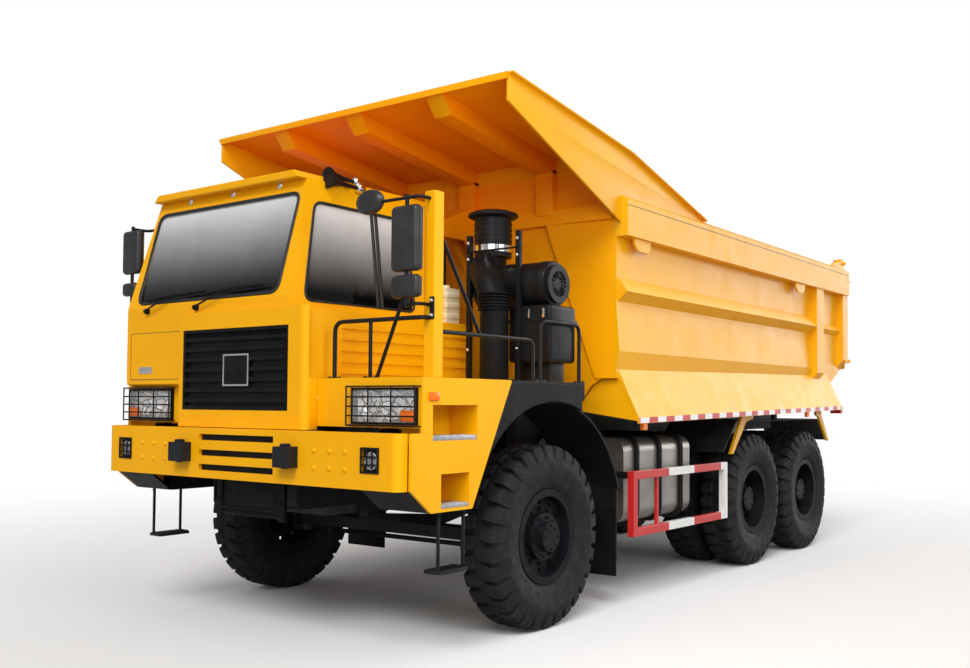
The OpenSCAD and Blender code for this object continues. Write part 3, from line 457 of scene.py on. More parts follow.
# Bumper. A folded steel box in amber, bolted to the frame by six domed bolts a side; the long
# slots and the lamp pockets are backed in black, and the tow eyes carry drop pins.
def add_block(bm, low, high, ease=0.003, segments=2, profile=0.6):
    """A plate or bar between two corners with eased edges."""
    low, high = Vector(low), Vector(high)
    part = bmesh.new()
    bmesh.ops.create_cube(part, size=1.0)
    bmesh.ops.scale(part, vec=high - low, verts=part.verts)
    if ease:
        bmesh.ops.bevel(part, geom=part.edges[:], offset=ease, segments=segments, profile=profile,
                        affect="EDGES")
    bmesh.ops.translate(part, vec=(low + high) / 2, verts=part.verts)
    add_part(bm, part)


def on_side(sign, low, high):
    """Two corners on the left, carried over to the side that sign gives and put in order."""
    x0, x1 = sorted((sign * low[0], sign * high[0]))
    return (x0, *low[1:]), (x1, *high[1:])


def add_dome(bm, base, axis, size):
    """A domed bolt head on a washer."""
    s = size
    add_turned(bm, ((0, 0), (0, 1.3 * s), (0.2 * s, 1.3 * s), (0.2 * s, s), (0.5 * s, 0.85 * s),
                    (0.72 * s, 0.5 * s), (0.8 * s, 0)), base, axis, 16)


amber_paint = sprayed("amber_paint", (0.93, 0.440, 0.0005), (0.91, 0.410, 0.0005), 0.36, 0.05,
                      (0.50, 0.26, 0.04), 0.12, 0.18)
coat(amber_paint, "bumper")
ease_edges(0.008, "bumper")
bumper_face = -1.656
black_plastic = mottled("black_plastic", (0.005, 0.005, 0.0055), (0.010, 0.010, 0.011), (5.0,),
                        (0.42, 0.6, 30.0), (0.0003, 600.0, 2.0), Specular_IOR_Level=0.14)
bm = bmesh.new()
for z in (1.397, 1.285, 1.180):
    add_block(bm, (-0.409, bumper_face + 0.030, z + 0.0005), (0.409, bumper_face + 0.0405, z + 0.0445), 0)
new_piece("bumper_slot_backs", bm, black_plastic, "chassis")
bm = bmesh.new()
for x in (0.820, 0.965, 1.110):
    for z in (1.246, 1.360):
        for sign in (1, -1):
            add_dome(bm, (sign * x, bumper_face, z), (0, -1, 0), 0.016)
new_piece("bumper_bolts", bm, amber_paint, "chassis")
bm = bmesh.new()
for sign in (1, -1):
    add_turned(bm, ((0, 0), (0, 0.021), (0.150, 0.021), (0.150, 0.034), (0.160, 0.036), (0.168, 0.030),
                    (0.170, 0)), (sign * 0.580, -1.698, 1.232), (0, 0, 1))
new_piece("tow_pins", bm, chassis_paint, "chassis")
bm = bmesh.new()
add_block(bm, (-0.370, -1.508, 0.860), (0.370, -1.496, 1.150), 0.004)
for z in (0.870, 0.910):
    add_rod(bm, (-0.360, -1.512, z), (1, 0, 0), 0.720, 0.012, 14)
for x in (-0.340, 0.340):
    add_block(bm, (x - 0.030, -1.520, 0.840), (x + 0.030, -1.490, 1.1595), 0.004)
    add_nut(bm, (x, -1.520, 0.975), (0, -1, 0), 0.012)
new_piece("under_guard", bm, black_plastic, "chassis")


# Fenders. Amber sheet boxes with a lamp panel in front, a platform on top, and side plates
# with step pockets; black moulded arch linings and flaps hang behind them over the wheels.
def fender_painted_shade(tree, place):
    """The inner plates, chamfer and floor of a fender box, painted black as painted shade, and its edge over
    the arch, also black.
    """
    away = sum_of(tree, "ABSOLUTE", part_of(tree, place, "X"))
    along, high = part_of(tree, place, "Y"), part_of(tree, place, "Z")
    within = between(tree, away, 1.5785, 1.5795, 1.0, 0.0)
    chamfer = sum_of(tree, "MULTIPLY", between(tree, along, axle_y - 1.379, axle_y - 1.378, 1.0, 0.0),
                     between(tree, high, 1.300, 1.301, 1.0, 0.0))
    lowest = between(tree, high, 0.995, 0.996, 1.0, 0.0)
    below = sum_of(tree, "MULTIPLY", within, sum_of(tree, "MAXIMUM", chamfer, lowest))
    inner = sum_of(tree, "MULTIPLY", between(tree, away, 1.348, 1.349, 1.0, 0.0),
                   between(tree, high, 1.500, 1.501, 1.0, 0.0))
    rim = sum_of(tree, "MULTIPLY", between(tree, away, 1.590, 1.591, 0.0, 1.0),
                 between(tree, along, axle_y - 0.540, axle_y - 0.538, 0.0, 1.0))
    return sum_of(tree, "MAXIMUM", sum_of(tree, "MAXIMUM", below, inner), rim)


# the fender's amber, with near-black painted shade on its inner plates, chamfer and floor
fender_paint = sprayed("fender_paint", (0.93, 0.440, 0.0005), (0.91, 0.410, 0.0005), 0.36, 0.05,
                       (0.50, 0.26, 0.04), 0.12, 0.18, (fender_painted_shade, (0.006, 0.006, 0.006)))
coat(fender_paint, "fender_left", "fender_right")
ease_edges(0.006, "fender_left", "fender_right")
coat(black_plastic, "wheel_arches")
bm = bmesh.new()
for sign in (1, -1):
    add_block(bm, *on_side(sign, (1.060, 0.9555, 0.262), (1.558, 0.9715, 0.400)), 0.006)
    for x in (1.100, 1.310, 1.520):
        add_dome(bm, (sign * x, 0.9555, 0.395), (0, -1, 0), 0.010)
new_piece("flap_tails", bm, black_plastic, "chassis")

tread_metal = mottled("tread_plate", (0.42, 0.43, 0.44), (0.62, 0.63, 0.64), (20.0,), (0.3, 0.5, 60.0),
                      (0.001, 90.0, 2.0, (1, 4, 1)), Metallic=0.9)
bm = bmesh.new()
for sign in (1, -1):
    for y0, y1, z, thick in ((-1.370, -0.917, 1.464, 0.030), (-1.285, -1.000, 1.022, 0.026)):
        add_block(bm, *on_side(sign, (1.351, y0 + 0.001, z - thick), (1.596, y1 - 0.001, z)), 0.002)
        teeth = int((y1 - y0 - 0.02) / 0.022)
        for n in range(teeth):
            y = y0 + 0.014 + n * 0.022
            for x in (1.575, 1.530):
                add_turned(bm, ((0, 0), (0, 0.008), (0.006, 0.006), (0.006, 0)), (sign * x, y, z - 0.001),
                           (0, 0, 1), 8)
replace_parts(new_piece("step_treads", bm, tread_metal, "chassis"), "steps")


# Lamps. Two reflector bowls behind one clear lens in each fender panel, with an amber corner
# below, and a small square fog lamp in the bumper; each sits behind a welded wire guard.
def waves(tree, place, scale, bend=0.0):
    """Fine parallel ribs."""
    node = tree.nodes.new("ShaderNodeTexWave")
    node.inputs["Scale"].default_value = scale
    node.inputs["Distortion"].default_value = bend
    tree.links.new(place, node.inputs["Vector"])
    return node.outputs["Fac"]


chrome = mottled("bright_reflector", (0.80, 0.81, 0.82), (0.90, 0.90, 0.91), (8.0,), (0.08, 0.18, 40.0),
                 start=0.3, Metallic=1.0)
# The reflector is a white ground broken by dark facet lines, a painted reflection in place of its mirror
# finish.
lamp_bowl, tree, shader, place = start_finish("lamp_bowl")
facets = tree.nodes.new("ShaderNodeTexVoronoi")
facets.feature = "DISTANCE_TO_EDGE"
facets.inputs["Scale"].default_value = 13.0
tree.links.new(place, facets.inputs["Vector"])
reflection_patch = between(tree, facets.outputs["Distance"], 0.02, 0.10, 0.0, 1.0)
tree.links.new(two_tone(tree, reflection_patch, (0.06, 0.06, 0.06), (0.97, 0.97, 0.98)), shader.inputs["Base Color"])
tree.links.new(between(tree, cloud(tree, place, 40.0), 0.3, 0.7, 0.12, 0.26), shader.inputs["Roughness"])
relief(tree, shader, reflection_patch, 0.004)
shader.inputs["Metallic"].default_value = 0.2
lens_glass, tree, shader, place = start_finish("lamp_lens")
flutes = waves(tree, place, 18.0, 0.6)
relief(tree, shader, flutes, 0.0006)
tree.links.new(two_tone(tree, flutes, (0.90, 0.92, 0.93), (0.97, 0.98, 0.98)), shader.inputs["Base Color"])
shader.inputs["Alpha"].default_value = 0.16
shader.inputs["Roughness"].default_value = 0.06
amber_lens, tree, shader, place = start_finish("amber_lens")
ribs = waves(tree, place, 30.0)
relief(tree, shader, ribs, 0.0015)
tree.links.new(two_tone(tree, ribs, (0.92, 0.130, 0.003), (1.0, 0.22, 0.006)), shader.inputs["Base Color"])
shader.inputs["Transmission Weight"].default_value = 0.1
shader.inputs["Roughness"].default_value = 0.15

lamp_face, bowl_r, wire = -1.470, 0.088, 0.0055
bowls, lenses, bezels, corners, guards = (bmesh.new() for _ in range(5))
for sign in (1, -1):
    add_block(bowls, *on_side(sign, (0.988, lamp_face + 0.030, 1.538),
                              (1.562, lamp_face + 0.069, 1.772)), 0.002)
    for x in (1.135, 1.345):
        add_turned(bowls, ((0.052, 0), (0.050, 0.030), (0.040, 0.060), (0.022, 0.080), (0.0, bowl_r),
                           (0.0, bowl_r + 0.008), (0.055, bowl_r + 0.008)),
                   (sign * x, lamp_face - 0.010, 1.662), (0, 1, 0), 28)
        add_turned(bowls, ((0, 0), (0.004, 0.016), (0.016, 0.020), (0.045, 0.020)),
                   (sign * x, lamp_face - 0.004, 1.662), (0, 1, 0), 16)
    add_block(lenses, *on_side(sign, (1.000, lamp_face - 0.020, 1.550),
                               (1.550, lamp_face - 0.013, 1.760)), 0.003)
    add_block(corners, *on_side(sign, (1.430, lamp_face - 0.0225, 1.556),
                                (1.546, lamp_face + 0.006, 1.628)), 0.004)
    for x0, z0, x1, z1 in ((0.986, 1.7605, 1.564, 1.7745), (0.986, 1.5355, 1.564, 1.5495),
                           (0.986, 1.5355, 0.9995, 1.7745), (1.5505, 1.5355, 1.564, 1.7745)):
        add_block(bezels, *on_side(sign, (x0, lamp_face - 0.024, z0), (x1, lamp_face + 0.030, z1)), 0.003)
    # fog lamp in the bumper's pocket
    add_block(bezels, *on_side(sign, (1.262, bumper_face + 0.012, 1.232),
                               (1.398, bumper_face + 0.0595, 1.386)), 0.006)
    add_turned(bowls, ((0.030, 0), (0.026, 0.030), (0.0, 0.052), (0.0, 0.056), (0.004, 0.056)),
               (sign * 1.330, bumper_face + 0.008, 1.309), (0, 1, 0), 28)
    add_turned(lenses, ((0, 0), (0.001, 0.030), (0.004, 0.050), (0.009, 0.050), (0.009, 0)),
               (sign * 1.330, bumper_face + 0.002, 1.309), (0, 1, 0), 28)
    # wire guards: rows, uprights and the stubs that hold them, in front of each lamp
    for rows, row_from, row_y, width, uprights, upright_from, upright_y, height, stub_y, stub in (
            ((1.528, 1.590, 1.652, 1.714, 1.782), 0.972, lamp_face - 0.046, 0.612,
             (0.974, 1.175, 1.378, 1.582), 1.524, lamp_face - 0.0545, 0.262, lamp_face - 0.056, 0.056),
            ((1.236, 1.285, 1.335, 1.388), 1.252, bumper_face - 0.002, 0.156,
             (1.256, 1.306, 1.354, 1.404), 1.232, bumper_face - 0.008, 0.160, bumper_face - 0.010, 0.070)):
        for z in rows:
            add_rod(guards, (sign * row_from, row_y, z), (sign, 0, 0), width, wire)
        for x in uprights:
            add_rod(guards, (sign * x, upright_y, upright_from), (0, 0, 1), height, wire)
        for x in (uprights[0], uprights[-1]):
            for z in (rows[0], rows[-1]):
                add_rod(guards, (sign * x, stub_y, z), (0, 1, 0), stub, wire)
    # marker on the step box
    add_block(corners, *on_side(sign, (1.596, -1.412, 1.690), (1.616, -1.322, 1.746)), 0.009)
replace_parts(new_piece("headlamp_bowls", bowls, lamp_bowl, "chassis"), "headlamps")
new_piece("lamp_lenses", lenses, lens_glass, "chassis")
new_piece("lamp_bezels", bezels, black_plastic, "chassis")
new_piece("lamp_corners", corners, amber_lens, "chassis")
black_paint = sprayed("black_paint", (0.005, 0.005, 0.0055), (0.010, 0.010, 0.011), 0.38, 0.1)
new_piece("lamp_guards", guards, black_paint, "chassis")


# Hanging steps. A ribbed black tread hangs on two bolted flat bars below the step pockets
# of each fender.
bm = bmesh.new()
for sign in (1, -1):
    for y in (-1.250, -1.000):
        add_block(bm, *on_side(sign, (1.538, y - 0.008, 0.585), (1.558, y + 0.008, 0.9755)), 0.003)
        add_nut(bm, (sign * 1.558, y, 0.945), (sign, 0, 0), 0.008)
    add_block(bm, *on_side(sign, (1.440, -1.266, 0.570), (1.580, -0.984, 0.594)), 0.004)
    for n in range(10):
        y = -1.252 + n * 0.0286
        add_block(bm, *on_side(sign, (1.450, y - 0.004, 0.590), (1.570, y + 0.004, 0.600)), 0.002)
new_piece("hanging_steps", bm, black_paint, "chassis")


# Cab. A welded shell of pressed sheet in amber, its panes held in black rubber seals, with a
# roof pressing that juts out as a sun visor over three small lamps.
def rounded(path, bend, closed=False, steps=5):
    """A path whose corners become bends."""
    points = [Vector(p) for p in path]
    if closed:
        triples = [(points[i - 1], points[i], points[(i + 1) % len(points)]) for i in range(len(points))]
        out = []
    else:
        triples = list(zip(points, points[1:], points[2:]))
        out = [points[0]]
    for before, corner, after in triples:
        back, on = before - corner, after - corner
        cut = min(bend, back.length * 0.45, on.length * 0.45)
        back.normalize()
        on.normalize()
        for k in range(steps + 1):
            t = k / steps
            out.append(corner + back * (cut * (1 - t) ** 2) + on * (cut * t ** 2))
    if not closed:
        out.append(points[-1])
    return out


def add_pipe(bm, path, radius, sides=12, closed=False, flat=None):
    """A round bar along a path; flat = (direction, share) squeezes it to a strip or bead."""
    points = [Vector(p) for p in path]
    count = len(points)
    rings = []
    normal = None
    for i, point in enumerate(points):
        back = points[i - 1] if closed or i else None
        on = points[(i + 1) % count] if closed or i < count - 1 else None
        along = Vector((0, 0, 0))
        if on is not None:
            along += (on - point).normalized()
        if back is not None:
            along += (point - back).normalized()
        along.normalize()
        if normal is None:
            normal = along.orthogonal().normalized()
        normal = (normal - along * normal.dot(along)).normalized()
        other = along.cross(normal)
        ring = []
        for k in range(sides):
            t = 2 * math.pi * k / sides
            reach = (normal * math.cos(t) + other * math.sin(t)) * radius
            if flat:
                way = Vector(flat[0]).normalized()
                reach -= way * reach.dot(way) * (1 - flat[1])
            ring.append(bm.verts.new(point + reach))
        rings.append(ring)
    for first, second in zip(rings, rings[1:] + (rings[:1] if closed else [])):
        shift = 0
        if closed and second is rings[0]:
            shift = min(range(sides), key=lambda k: (first[0].co - second[k].co).length)
        for k in range(sides):
            a, b = k, (k + 1) % sides
            bm.faces.new((first[a], first[b], second[(b + shift) % sides], second[(a + shift) % sides]))
    if not closed:
        bm.faces.new(rings[0])
        bm.faces.new(rings[-1])


coat(amber_paint, "cab_shell", "cab_roof", "door")
ease_edges(0.012, "cab_shell", "cab_roof")
ease_edges(0.006, "door")

cab_rubber = mottled("seal_rubber", (0.010, 0.010, 0.011), (0.022, 0.022, 0.023), (12.0,), (0.45, 0.62, 45.0),
                     (0.0003, 300.0, 2.0))


def left_wall(z):
    """How far out the leaning left cab wall stands at a height."""
    return 0.415 - 0.085 * max(0.0, z - 2.380) / 0.910


def right_wall(z):
    """The right cab wall, which mirrors the left one about the cab's middle."""
    return -1.100 - left_wall(z)


def screen(x, z, out=0.0):
    """A point on the leaning windscreen's face."""
    return Vector((x, -1.545 + 0.210 * (z - 2.420) / 0.780 - out, z))


screen_loop = [screen(x, z, 0.002) for x, z in ((-1.39, 2.45), (0.29, 2.45), (0.29, 3.19), (-1.39, 3.19))]
window_loop = [Vector((left_wall(z) + 0.002, y, z)) for y, z in ((-1.40, 2.40), (-1.255, 3.13), (-0.29, 3.13),
                                                                   (-0.25, 2.40))]
rear_loop = [Vector((x, 0.102, z)) for x, z in ((-1.2, 2.5), (0.1, 2.5), (0.1, 3.05), (-1.2, 3.05))]
door_loop = [Vector((right_wall(z) - 0.002, y, z)) for y, z in ((-1.19, 2.43), (-1.065, 3.08), (-0.37, 3.08),
                                                                  (-0.37, 2.43))]
bm = bmesh.new()
add_pipe(bm, rounded(screen_loop, 0.085, True), 0.014, 12, True, ((0, -1, 0.27), 0.6))
add_pipe(bm, rounded(window_loop, 0.075, True), 0.012, 12, True, ((1, 0, 0.09), 0.45))
add_pipe(bm, rounded(rear_loop, 0.060, True), 0.012, 12, True, ((0, 1, 0), 0.45))
for y in (-0.655, -0.610):
    add_pipe(bm, [(left_wall(2.40) - 0.006, y, 2.40), (left_wall(3.13) - 0.006, y - 0.02, 3.13)], 0.016, 10,
             False, ((1, 0, 0), 0.6))
# shut lines of the service flap beside the nose
for x0, z0, x1, z1 in ((-1.460, 2.211, -0.742, 2.215), (-1.460, 1.846, -0.742, 1.850),
                       (-1.462, 1.846, -1.458, 2.215)):
    add_block(bm, (x0, -1.5460, z0), (x1, -1.5445, z1), 0)
new_piece("cab_seals", bm, cab_rubber, "chassis", 60)
bm = bmesh.new()
add_pipe(bm, rounded(door_loop, 0.060, True), 0.012, 12, True, ((1, 0, -0.09), 0.45))
new_piece("door_seal", bm, cab_rubber, "door", 60)


# Panes. Flat tinted safety glass, bonded into the seals; a painted reflection makes them pale
# towards the top edge, and low down they are darkest, the side pane a near-black painted shade.
tinted, tree, shader, place = start_finish("tinted_glass")
# painted reflection: white towards the top, broken up a little by clouds
reflection_rise = between(tree, part_of(tree, place, "Z"), 2.46, 3.19, 0.0, 1.0)
reflection_breakup = between(tree, cloud(tree, place, 2.0), 0.3, 0.7, 0.88, 1.0)
at_side = between(tree, part_of(tree, place, "X"), 0.305, 0.310, 0.0, 1.0)
front = two_tone(tree, sum_of(tree, "MULTIPLY", sum_of(tree, "POWER", reflection_rise, 1.7), reflection_breakup),
                 (0.004, 0.005, 0.006), (0.96, 0.98, 0.98))
side = two_tone(tree, sum_of(tree, "MULTIPLY", sum_of(tree, "POWER", reflection_rise, 1.5), reflection_breakup),
                (0.003, 0.003, 0.003), (0.98, 0.97, 0.96))
# the side pane lets almost no light through, so its black is painted shade of the cab's inside
tree.links.new(two_tone(tree, at_side, front, side), shader.inputs["Base Color"])
tree.links.new(between(tree, at_side, 0.0, 1.0, 0.30, 0.02), shader.inputs["Transmission Weight"])
shader.inputs["Roughness"].default_value = 0.03
shader.inputs["IOR"].default_value = 1.30
coat(tinted, "cab_glass")
clear, tree, shader, place = start_finish("clear_glass_painted_reflection")
# the door pane is painted paler towards the top, a painted reflection
reflection_rise = between(tree, part_of(tree, place, "Z"), 2.46, 3.10, 0.0, 1.0)
tree.links.new(two_tone(tree, reflection_rise, (0.35, 0.36, 0.37), (0.96, 0.97, 0.97)), shader.inputs["Base Color"])
shader.inputs["Transmission Weight"].default_value = 0.85
shader.inputs["Roughness"].default_value = 0.03
shader.inputs["IOR"].default_value = 1.30
coat(clear, "door_glass")


# Wipers, visor lamps and horns. Pressed black wiper arms with rubber blades lie along the foot
# of the screen, chrome lamps sit under the visor, and two trumpets stand on the roof's left edge.
bm = bmesh.new()
for px, pz, ax, az, bx0, bz0, bx1, bz1 in ((-1.237, 2.384, -0.900, 2.492, -1.240, 2.470, -0.520, 2.506),
                                           (-0.612, 2.384, -0.200, 2.508, -0.560, 2.474, 0.150, 2.512)):
    add_turned(bm, ((-0.012, 0), (-0.012, 0.024), (0.014, 0.022), (0.026, 0.015), (0.028, 0)), screen(px, pz),
               (0, -1, 0), 18)
    add_pipe(bm, [screen(px, pz, 0.024), screen((px + ax) / 2, (pz + az) / 2, 0.046), screen(ax, az, 0.034)],
             0.008, 10, False, ((0, 1, 0), 0.6))
    add_pipe(bm, [screen(bx0, bz0, 0.026), screen(ax, az, 0.034), screen(bx1, bz1, 0.026)], 0.006, 8)
    add_pipe(bm, [screen(bx0, bz0 - 0.004, 0.018), screen(bx1, bz1 - 0.004, 0.018)], 0.007, 8)
new_piece("wipers", bm, black_plastic, "chassis")
bm = bmesh.new()
for x in (-1.030, -0.500, 0.035):
    add_turned(bm, ((-0.004, 0), (-0.004, 0.034), (0.006, 0.034), (0.010, 0.028), (0.008, 0.024),
                    (0.016, 0.018), (0.019, 0)), screen(x, 3.278), (0, -1, 0.2), 22)
new_piece("visor_lamps", bm, chrome, "chassis")
horn_black, horn_chrome = bmesh.new(), bmesh.new()
for x, y, z, length in ((0.325, -1.115, 3.355, 0.330), (0.372, -1.150, 3.300, 0.360)):
    add_turned(horn_black, ((0, 0), (0.010, 0.010), (0.006, 0.052), (0.0, 0.058), (0.012, 0.058),
                            (0.060, 0.034), (0.130, 0.020), (length - 0.07, 0.013), (length - 0.07, 0)),
               (x, y, z), (0, 1, -0.02), 24)
    add_turned(horn_chrome, ((length - 0.075, 0), (length - 0.075, 0.020), (length - 0.06, 0.034),
                             (length - 0.02, 0.036), (length, 0.026), (length, 0)), (x, y, z),
               (0, 1, -0.02), 24)
    add_block(horn_black, (x - 0.090, y + 0.190, z - 0.010), (x + 0.006, y + 0.215, z + 0.010), 0.003)
new_piece("horn_trumpets", horn_black, black_paint, "chassis")
new_piece("horn_backs", horn_chrome, chrome, "chassis")


# Nose and grille. The amber nose panel wraps the radiator; its opening holds a moulded black
# grille of broad slats with a strip of fine mesh along the top.
def join_ends(bm, ends):
    """Closes two equal outlines into a plate."""
    for end in ends:
        bm.faces.new(end)
    for i in range(len(ends[0])):
        j = (i + 1) % len(ends[0])
        bm.faces.new((ends[0][i], ends[0][j], ends[1][j], ends[1][i]))


def add_slab(bm, x0, x1, outline, ease=0.004):
    """A flat plate cut to an outline of (along, height) and as thick as x0 to x1."""
    part = bmesh.new()
    join_ends(part, [[part.verts.new((x, y, z)) for y, z in outline] for x in (x0, x1)])
    bmesh.ops.recalc_face_normals(part, faces=part.faces)
    if ease:
        bmesh.ops.bevel(part, geom=part.edges[:], offset=ease, segments=2, profile=0.6, affect="EDGES")
    add_part(bm, part)


coat(amber_paint, "engine_cover")
ease_edges(0.010, "engine_cover")
coat(black_plastic, "grille")
ease_edges(0.004, "grille")
bm = bmesh.new()
add_block(bm, (-0.704, -1.5488, 1.642), (0.434, -1.5456, 2.184), 0)
for n in range(58):
    x = -0.700 + n * 0.020
    add_block(bm, (x - 0.0015, -1.560, 2.128), (x + 0.0015, -1.556, 2.186), 0)
for n in range(5):
    z = 2.134 + n * 0.012
    add_block(bm, (-0.706, -1.561, z - 0.0015), (0.436, -1.557, z + 0.0015), 0)
add_block(bm, (-0.232, -1.5800, 1.802), (0.032, -1.5725, 2.010), 0.002)
new_piece("grille_mesh", bm, black_plastic, "chassis")
bm = bmesh.new()
for x0, z0, x1, z1 in ((-0.244, 1.790, -0.230, 2.022), (0.030, 1.790, 0.044, 2.022),
                       (-0.231, 1.790, 0.031, 1.803), (-0.231, 2.009, 0.031, 2.022)):
    add_block(bm, (x0, -1.5835, z0), (x1, -1.5725, z1), 0.002)
add_block(bm, (-1.340, -1.5495, 1.894), (-1.168, -1.5448, 1.947), 0.0015)
new_piece("bare_badges", bm, chrome, "chassis")
bm = bmesh.new()
add_block(bm, (0.5800, -1.5450, 1.4905), (0.6395, -1.4705, 1.8395), 0.002)
add_slab(bm, -1.512, -0.772, ((-1.5445, 1.8395), (-1.5445, 1.8100), (-1.4705, 1.7900),
                              (-1.4705, 1.8395)), 0.002)
new_piece("nose_fillers", bm, amber_paint, "chassis")
engine_iron = mottled("engine_iron", (0.030, 0.031, 0.033), (0.060, 0.058, 0.055), (9.0,), (0.55, 0.8, 30.0),
                      (0.001, 150.0, 4.0))
coat(engine_iron, "engine")


# Cab inside. A moulded dashboard with the steering wheel, and two sprung seats in woven cloth
# over foam on boxed bases.
coat(black_plastic, "dash")
seat_cloth, tree, shader, place = start_finish("seat_cloth")
weave = waves(tree, place, 160.0, 1.0)
tree.links.new(two_tone(tree, weave, (0.022, 0.023, 0.026), (0.046, 0.048, 0.054)),
               shader.inputs["Base Color"])
relief(tree, shader, weave, 0.001)
shader.inputs["Roughness"].default_value = 0.9
shader.inputs["Sheen Weight"].default_value = 0.3


def cushion(name, low, high, crown):
    """A stuffed pad: a crowned block whose sides pull in between its corners."""
    bm = bmesh.new()
    bmesh.ops.create_cube(bm, size=1.0)
    bmesh.ops.subdivide_edges(bm, edges=bm.edges[:], cuts=5, use_grid_fill=True)
    low, high = Vector(low), Vector(high)
    size, middle = high - low, (low + high) / 2
    thin = min(range(3), key=lambda k: size[k])
    for v in bm.verts:
        u = [2 * v.co[k] for k in range(3)]
        others = [u[k] for k in range(3) if k != thin]
        swell = (1 - others[0] ** 2) * (1 - others[1] ** 2)
        for k in range(3):
            reach = 1 - crown / size[k] * 2 * (1 - swell) if k == thin else 1 - 0.04 * abs(u[thin]) ** 3
            v.co[k] = middle[k] + v.co[k] * size[k] * reach
    piece = new_piece(name, bm, seat_cloth, "chassis", 70)
    smooth = piece.modifiers.new("stuffing", "SUBSURF")
    smooth.levels = smooth.render_levels = 1
    return piece


seat_bases = bmesh.new()
for x in (-1.000, -0.180):
    add_block(seat_bases, (x - 0.180, -0.680, 1.8805), (x + 0.180, -0.280, 2.118), 0.02)
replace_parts(new_piece("seat_bases", seat_bases, black_plastic, "chassis"), "seats")
for side, x in (("right", -1.000), ("left", -0.180)):
    for pad, half, y0, y1, z0, z1, crown in (("pad", 0.240, -0.720, -0.300, 2.110, 2.260, 0.030),
                                             ("back", 0.230, -0.290, -0.170, 2.250, 2.640, 0.025),
                                             ("headrest", 0.150, -0.280, -0.180, 2.660, 2.830, 0.025)):
        cushion(f"seat_{pad}_{side}", (x - half, y0, z0), (x + half, y1, z1), crown)


# Rails, post and mirrors. Bent black tube round the platform, an amber square post bolted at
# its corner, and moulded mirror housings on round arms with silvered glass behind.
bm = bmesh.new()
deck_z = 1.8405
for path in (
        [(0.730, -1.400, deck_z), (0.730, -1.400, 2.225), (1.535, -1.400, 2.225), (1.535, -1.346, 2.225)],
        [(1.560, -1.2545, 2.140), (1.560, -0.230, 2.140), (1.560, -0.230, deck_z)],
        [(1.560, -0.140, deck_z), (1.560, -0.140, 2.290), (1.560, 0.390, 2.290), (1.560, 0.390, deck_z)]):
    add_pipe(bm, rounded(path, 0.075), 0.015, 14)
for path in ([(1.070, -1.400, deck_z), (1.070, -1.400, 2.225)],
             [(1.560, -1.242, 2.740), (1.560, -0.850, 2.140)],
             [(1.134, -1.402, deck_z), (1.393, -1.412, 2.400)]):
    add_pipe(bm, path, 0.013, 12)
for x, y in ((0.730, -1.400), (1.070, -1.400), (1.560, -0.230), (1.560, -0.140), (1.560, 0.390)):
    add_block(bm, (x - 0.034, y - 0.034, deck_z), (x + 0.034, y + 0.034, 1.848), 0.002)
    for away in (-0.023, 0.023):
        add_nut(bm, (x + away, y + away, 1.847), (0, 0, 1), 0.006)
for x in (0.752, 1.237):
    add_block(bm, (x, -0.020, deck_z), (x + 0.040, 0.020, 3.010), 0.004)
add_block(bm, (0.752, -0.020, 2.873), (1.277, 0.000, 2.887), 0.003)
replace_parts(new_piece("bent_rails", bm, black_paint, "chassis"), "handrails")
coat(amber_paint, "mirror_post")
ease_edges(0.006, "mirror_post")
housing = mottled("mirror_housing", (0.018, 0.018, 0.019), (0.030, 0.030, 0.031), (6.0,), (0.30, 0.42, 25.0),
                  (0.0003, 500.0, 2.0))
silvered = mottled("silvered_glass", (0.80, 0.82, 0.83), (0.86, 0.87, 0.88), (3.0,), (0.02, 0.06, 20.0),
                   start=0.3, Metallic=1.0)


def add_shell(bm, low, high, bend):
    """A moulded housing: a box with large round edges."""
    add_block(bm, low, high, bend, 5, 0.5)


mirror_y = -1.435
shells, glasses, arms = bmesh.new(), bmesh.new(), bmesh.new()
for low, high, bend in (((1.300, mirror_y - 0.040, 2.520), (1.540, mirror_y + 0.040, 2.950), 0.036),
                        ((1.300, mirror_y - 0.035, 2.350), (1.540, mirror_y + 0.035, 2.500), 0.034),
                        ((-1.748, mirror_y - 0.035, 2.720), (-1.520, mirror_y + 0.035, 3.080), 0.0345),
                        ((-1.748, mirror_y - 0.030, 2.540), (-1.560, mirror_y + 0.030, 2.650), 0.0295)):
    add_shell(shells, low, high, bend)
    add_block(glasses, (low[0] + 0.014, high[1] - 0.006, low[2] + 0.014),
              (high[0] - 0.014, high[1] + 0.0015, high[2] - 0.014), 0.003)
for bm, outline in ((shells, ((-0.030, 0), (-0.028, 0.070), (-0.018, 0.108), (0.0, 0.124), (0.014, 0.124),
                              (0.020, 0.116), (0.020, 0))),
                    (glasses, ((0.019, 0), (0.019, 0.112), (0.021, 0.112), (0.021, 0)))):
    oval = bmesh.new()
    add_turned(oval, outline, (0, 0, 0), (0, 1, 0), 36)
    bmesh.ops.scale(oval, vec=(1.0, 1.0, 0.68), verts=oval.verts)
    bmesh.ops.translate(oval, vec=(1.080, mirror_y, 3.010), verts=oval.verts)
    add_part(bm, oval)
for z in (3.000, 2.310):
    add_pipe(arms, rounded([(1.420, mirror_y, z), (1.535, mirror_y, z), (1.535, -1.345, z)], 0.05), 0.012)
add_pipe(arms, [(1.420, mirror_y, 2.290), (1.420, mirror_y, 3.020)], 0.014)
add_pipe(arms, [(1.080, mirror_y, 3.000), (1.422, mirror_y, 3.000)], 0.011)
add_pipe(arms, [(-1.640, mirror_y, 2.460), (-1.640, mirror_y, 3.115)], 0.014)
for z in (2.480, 3.095):
    arm = [(-1.640, mirror_y, z), (-1.640, -1.300, z), (right_wall(z), -1.300, z)]
    add_pipe(arms, rounded(arm, 0.06), 0.012)
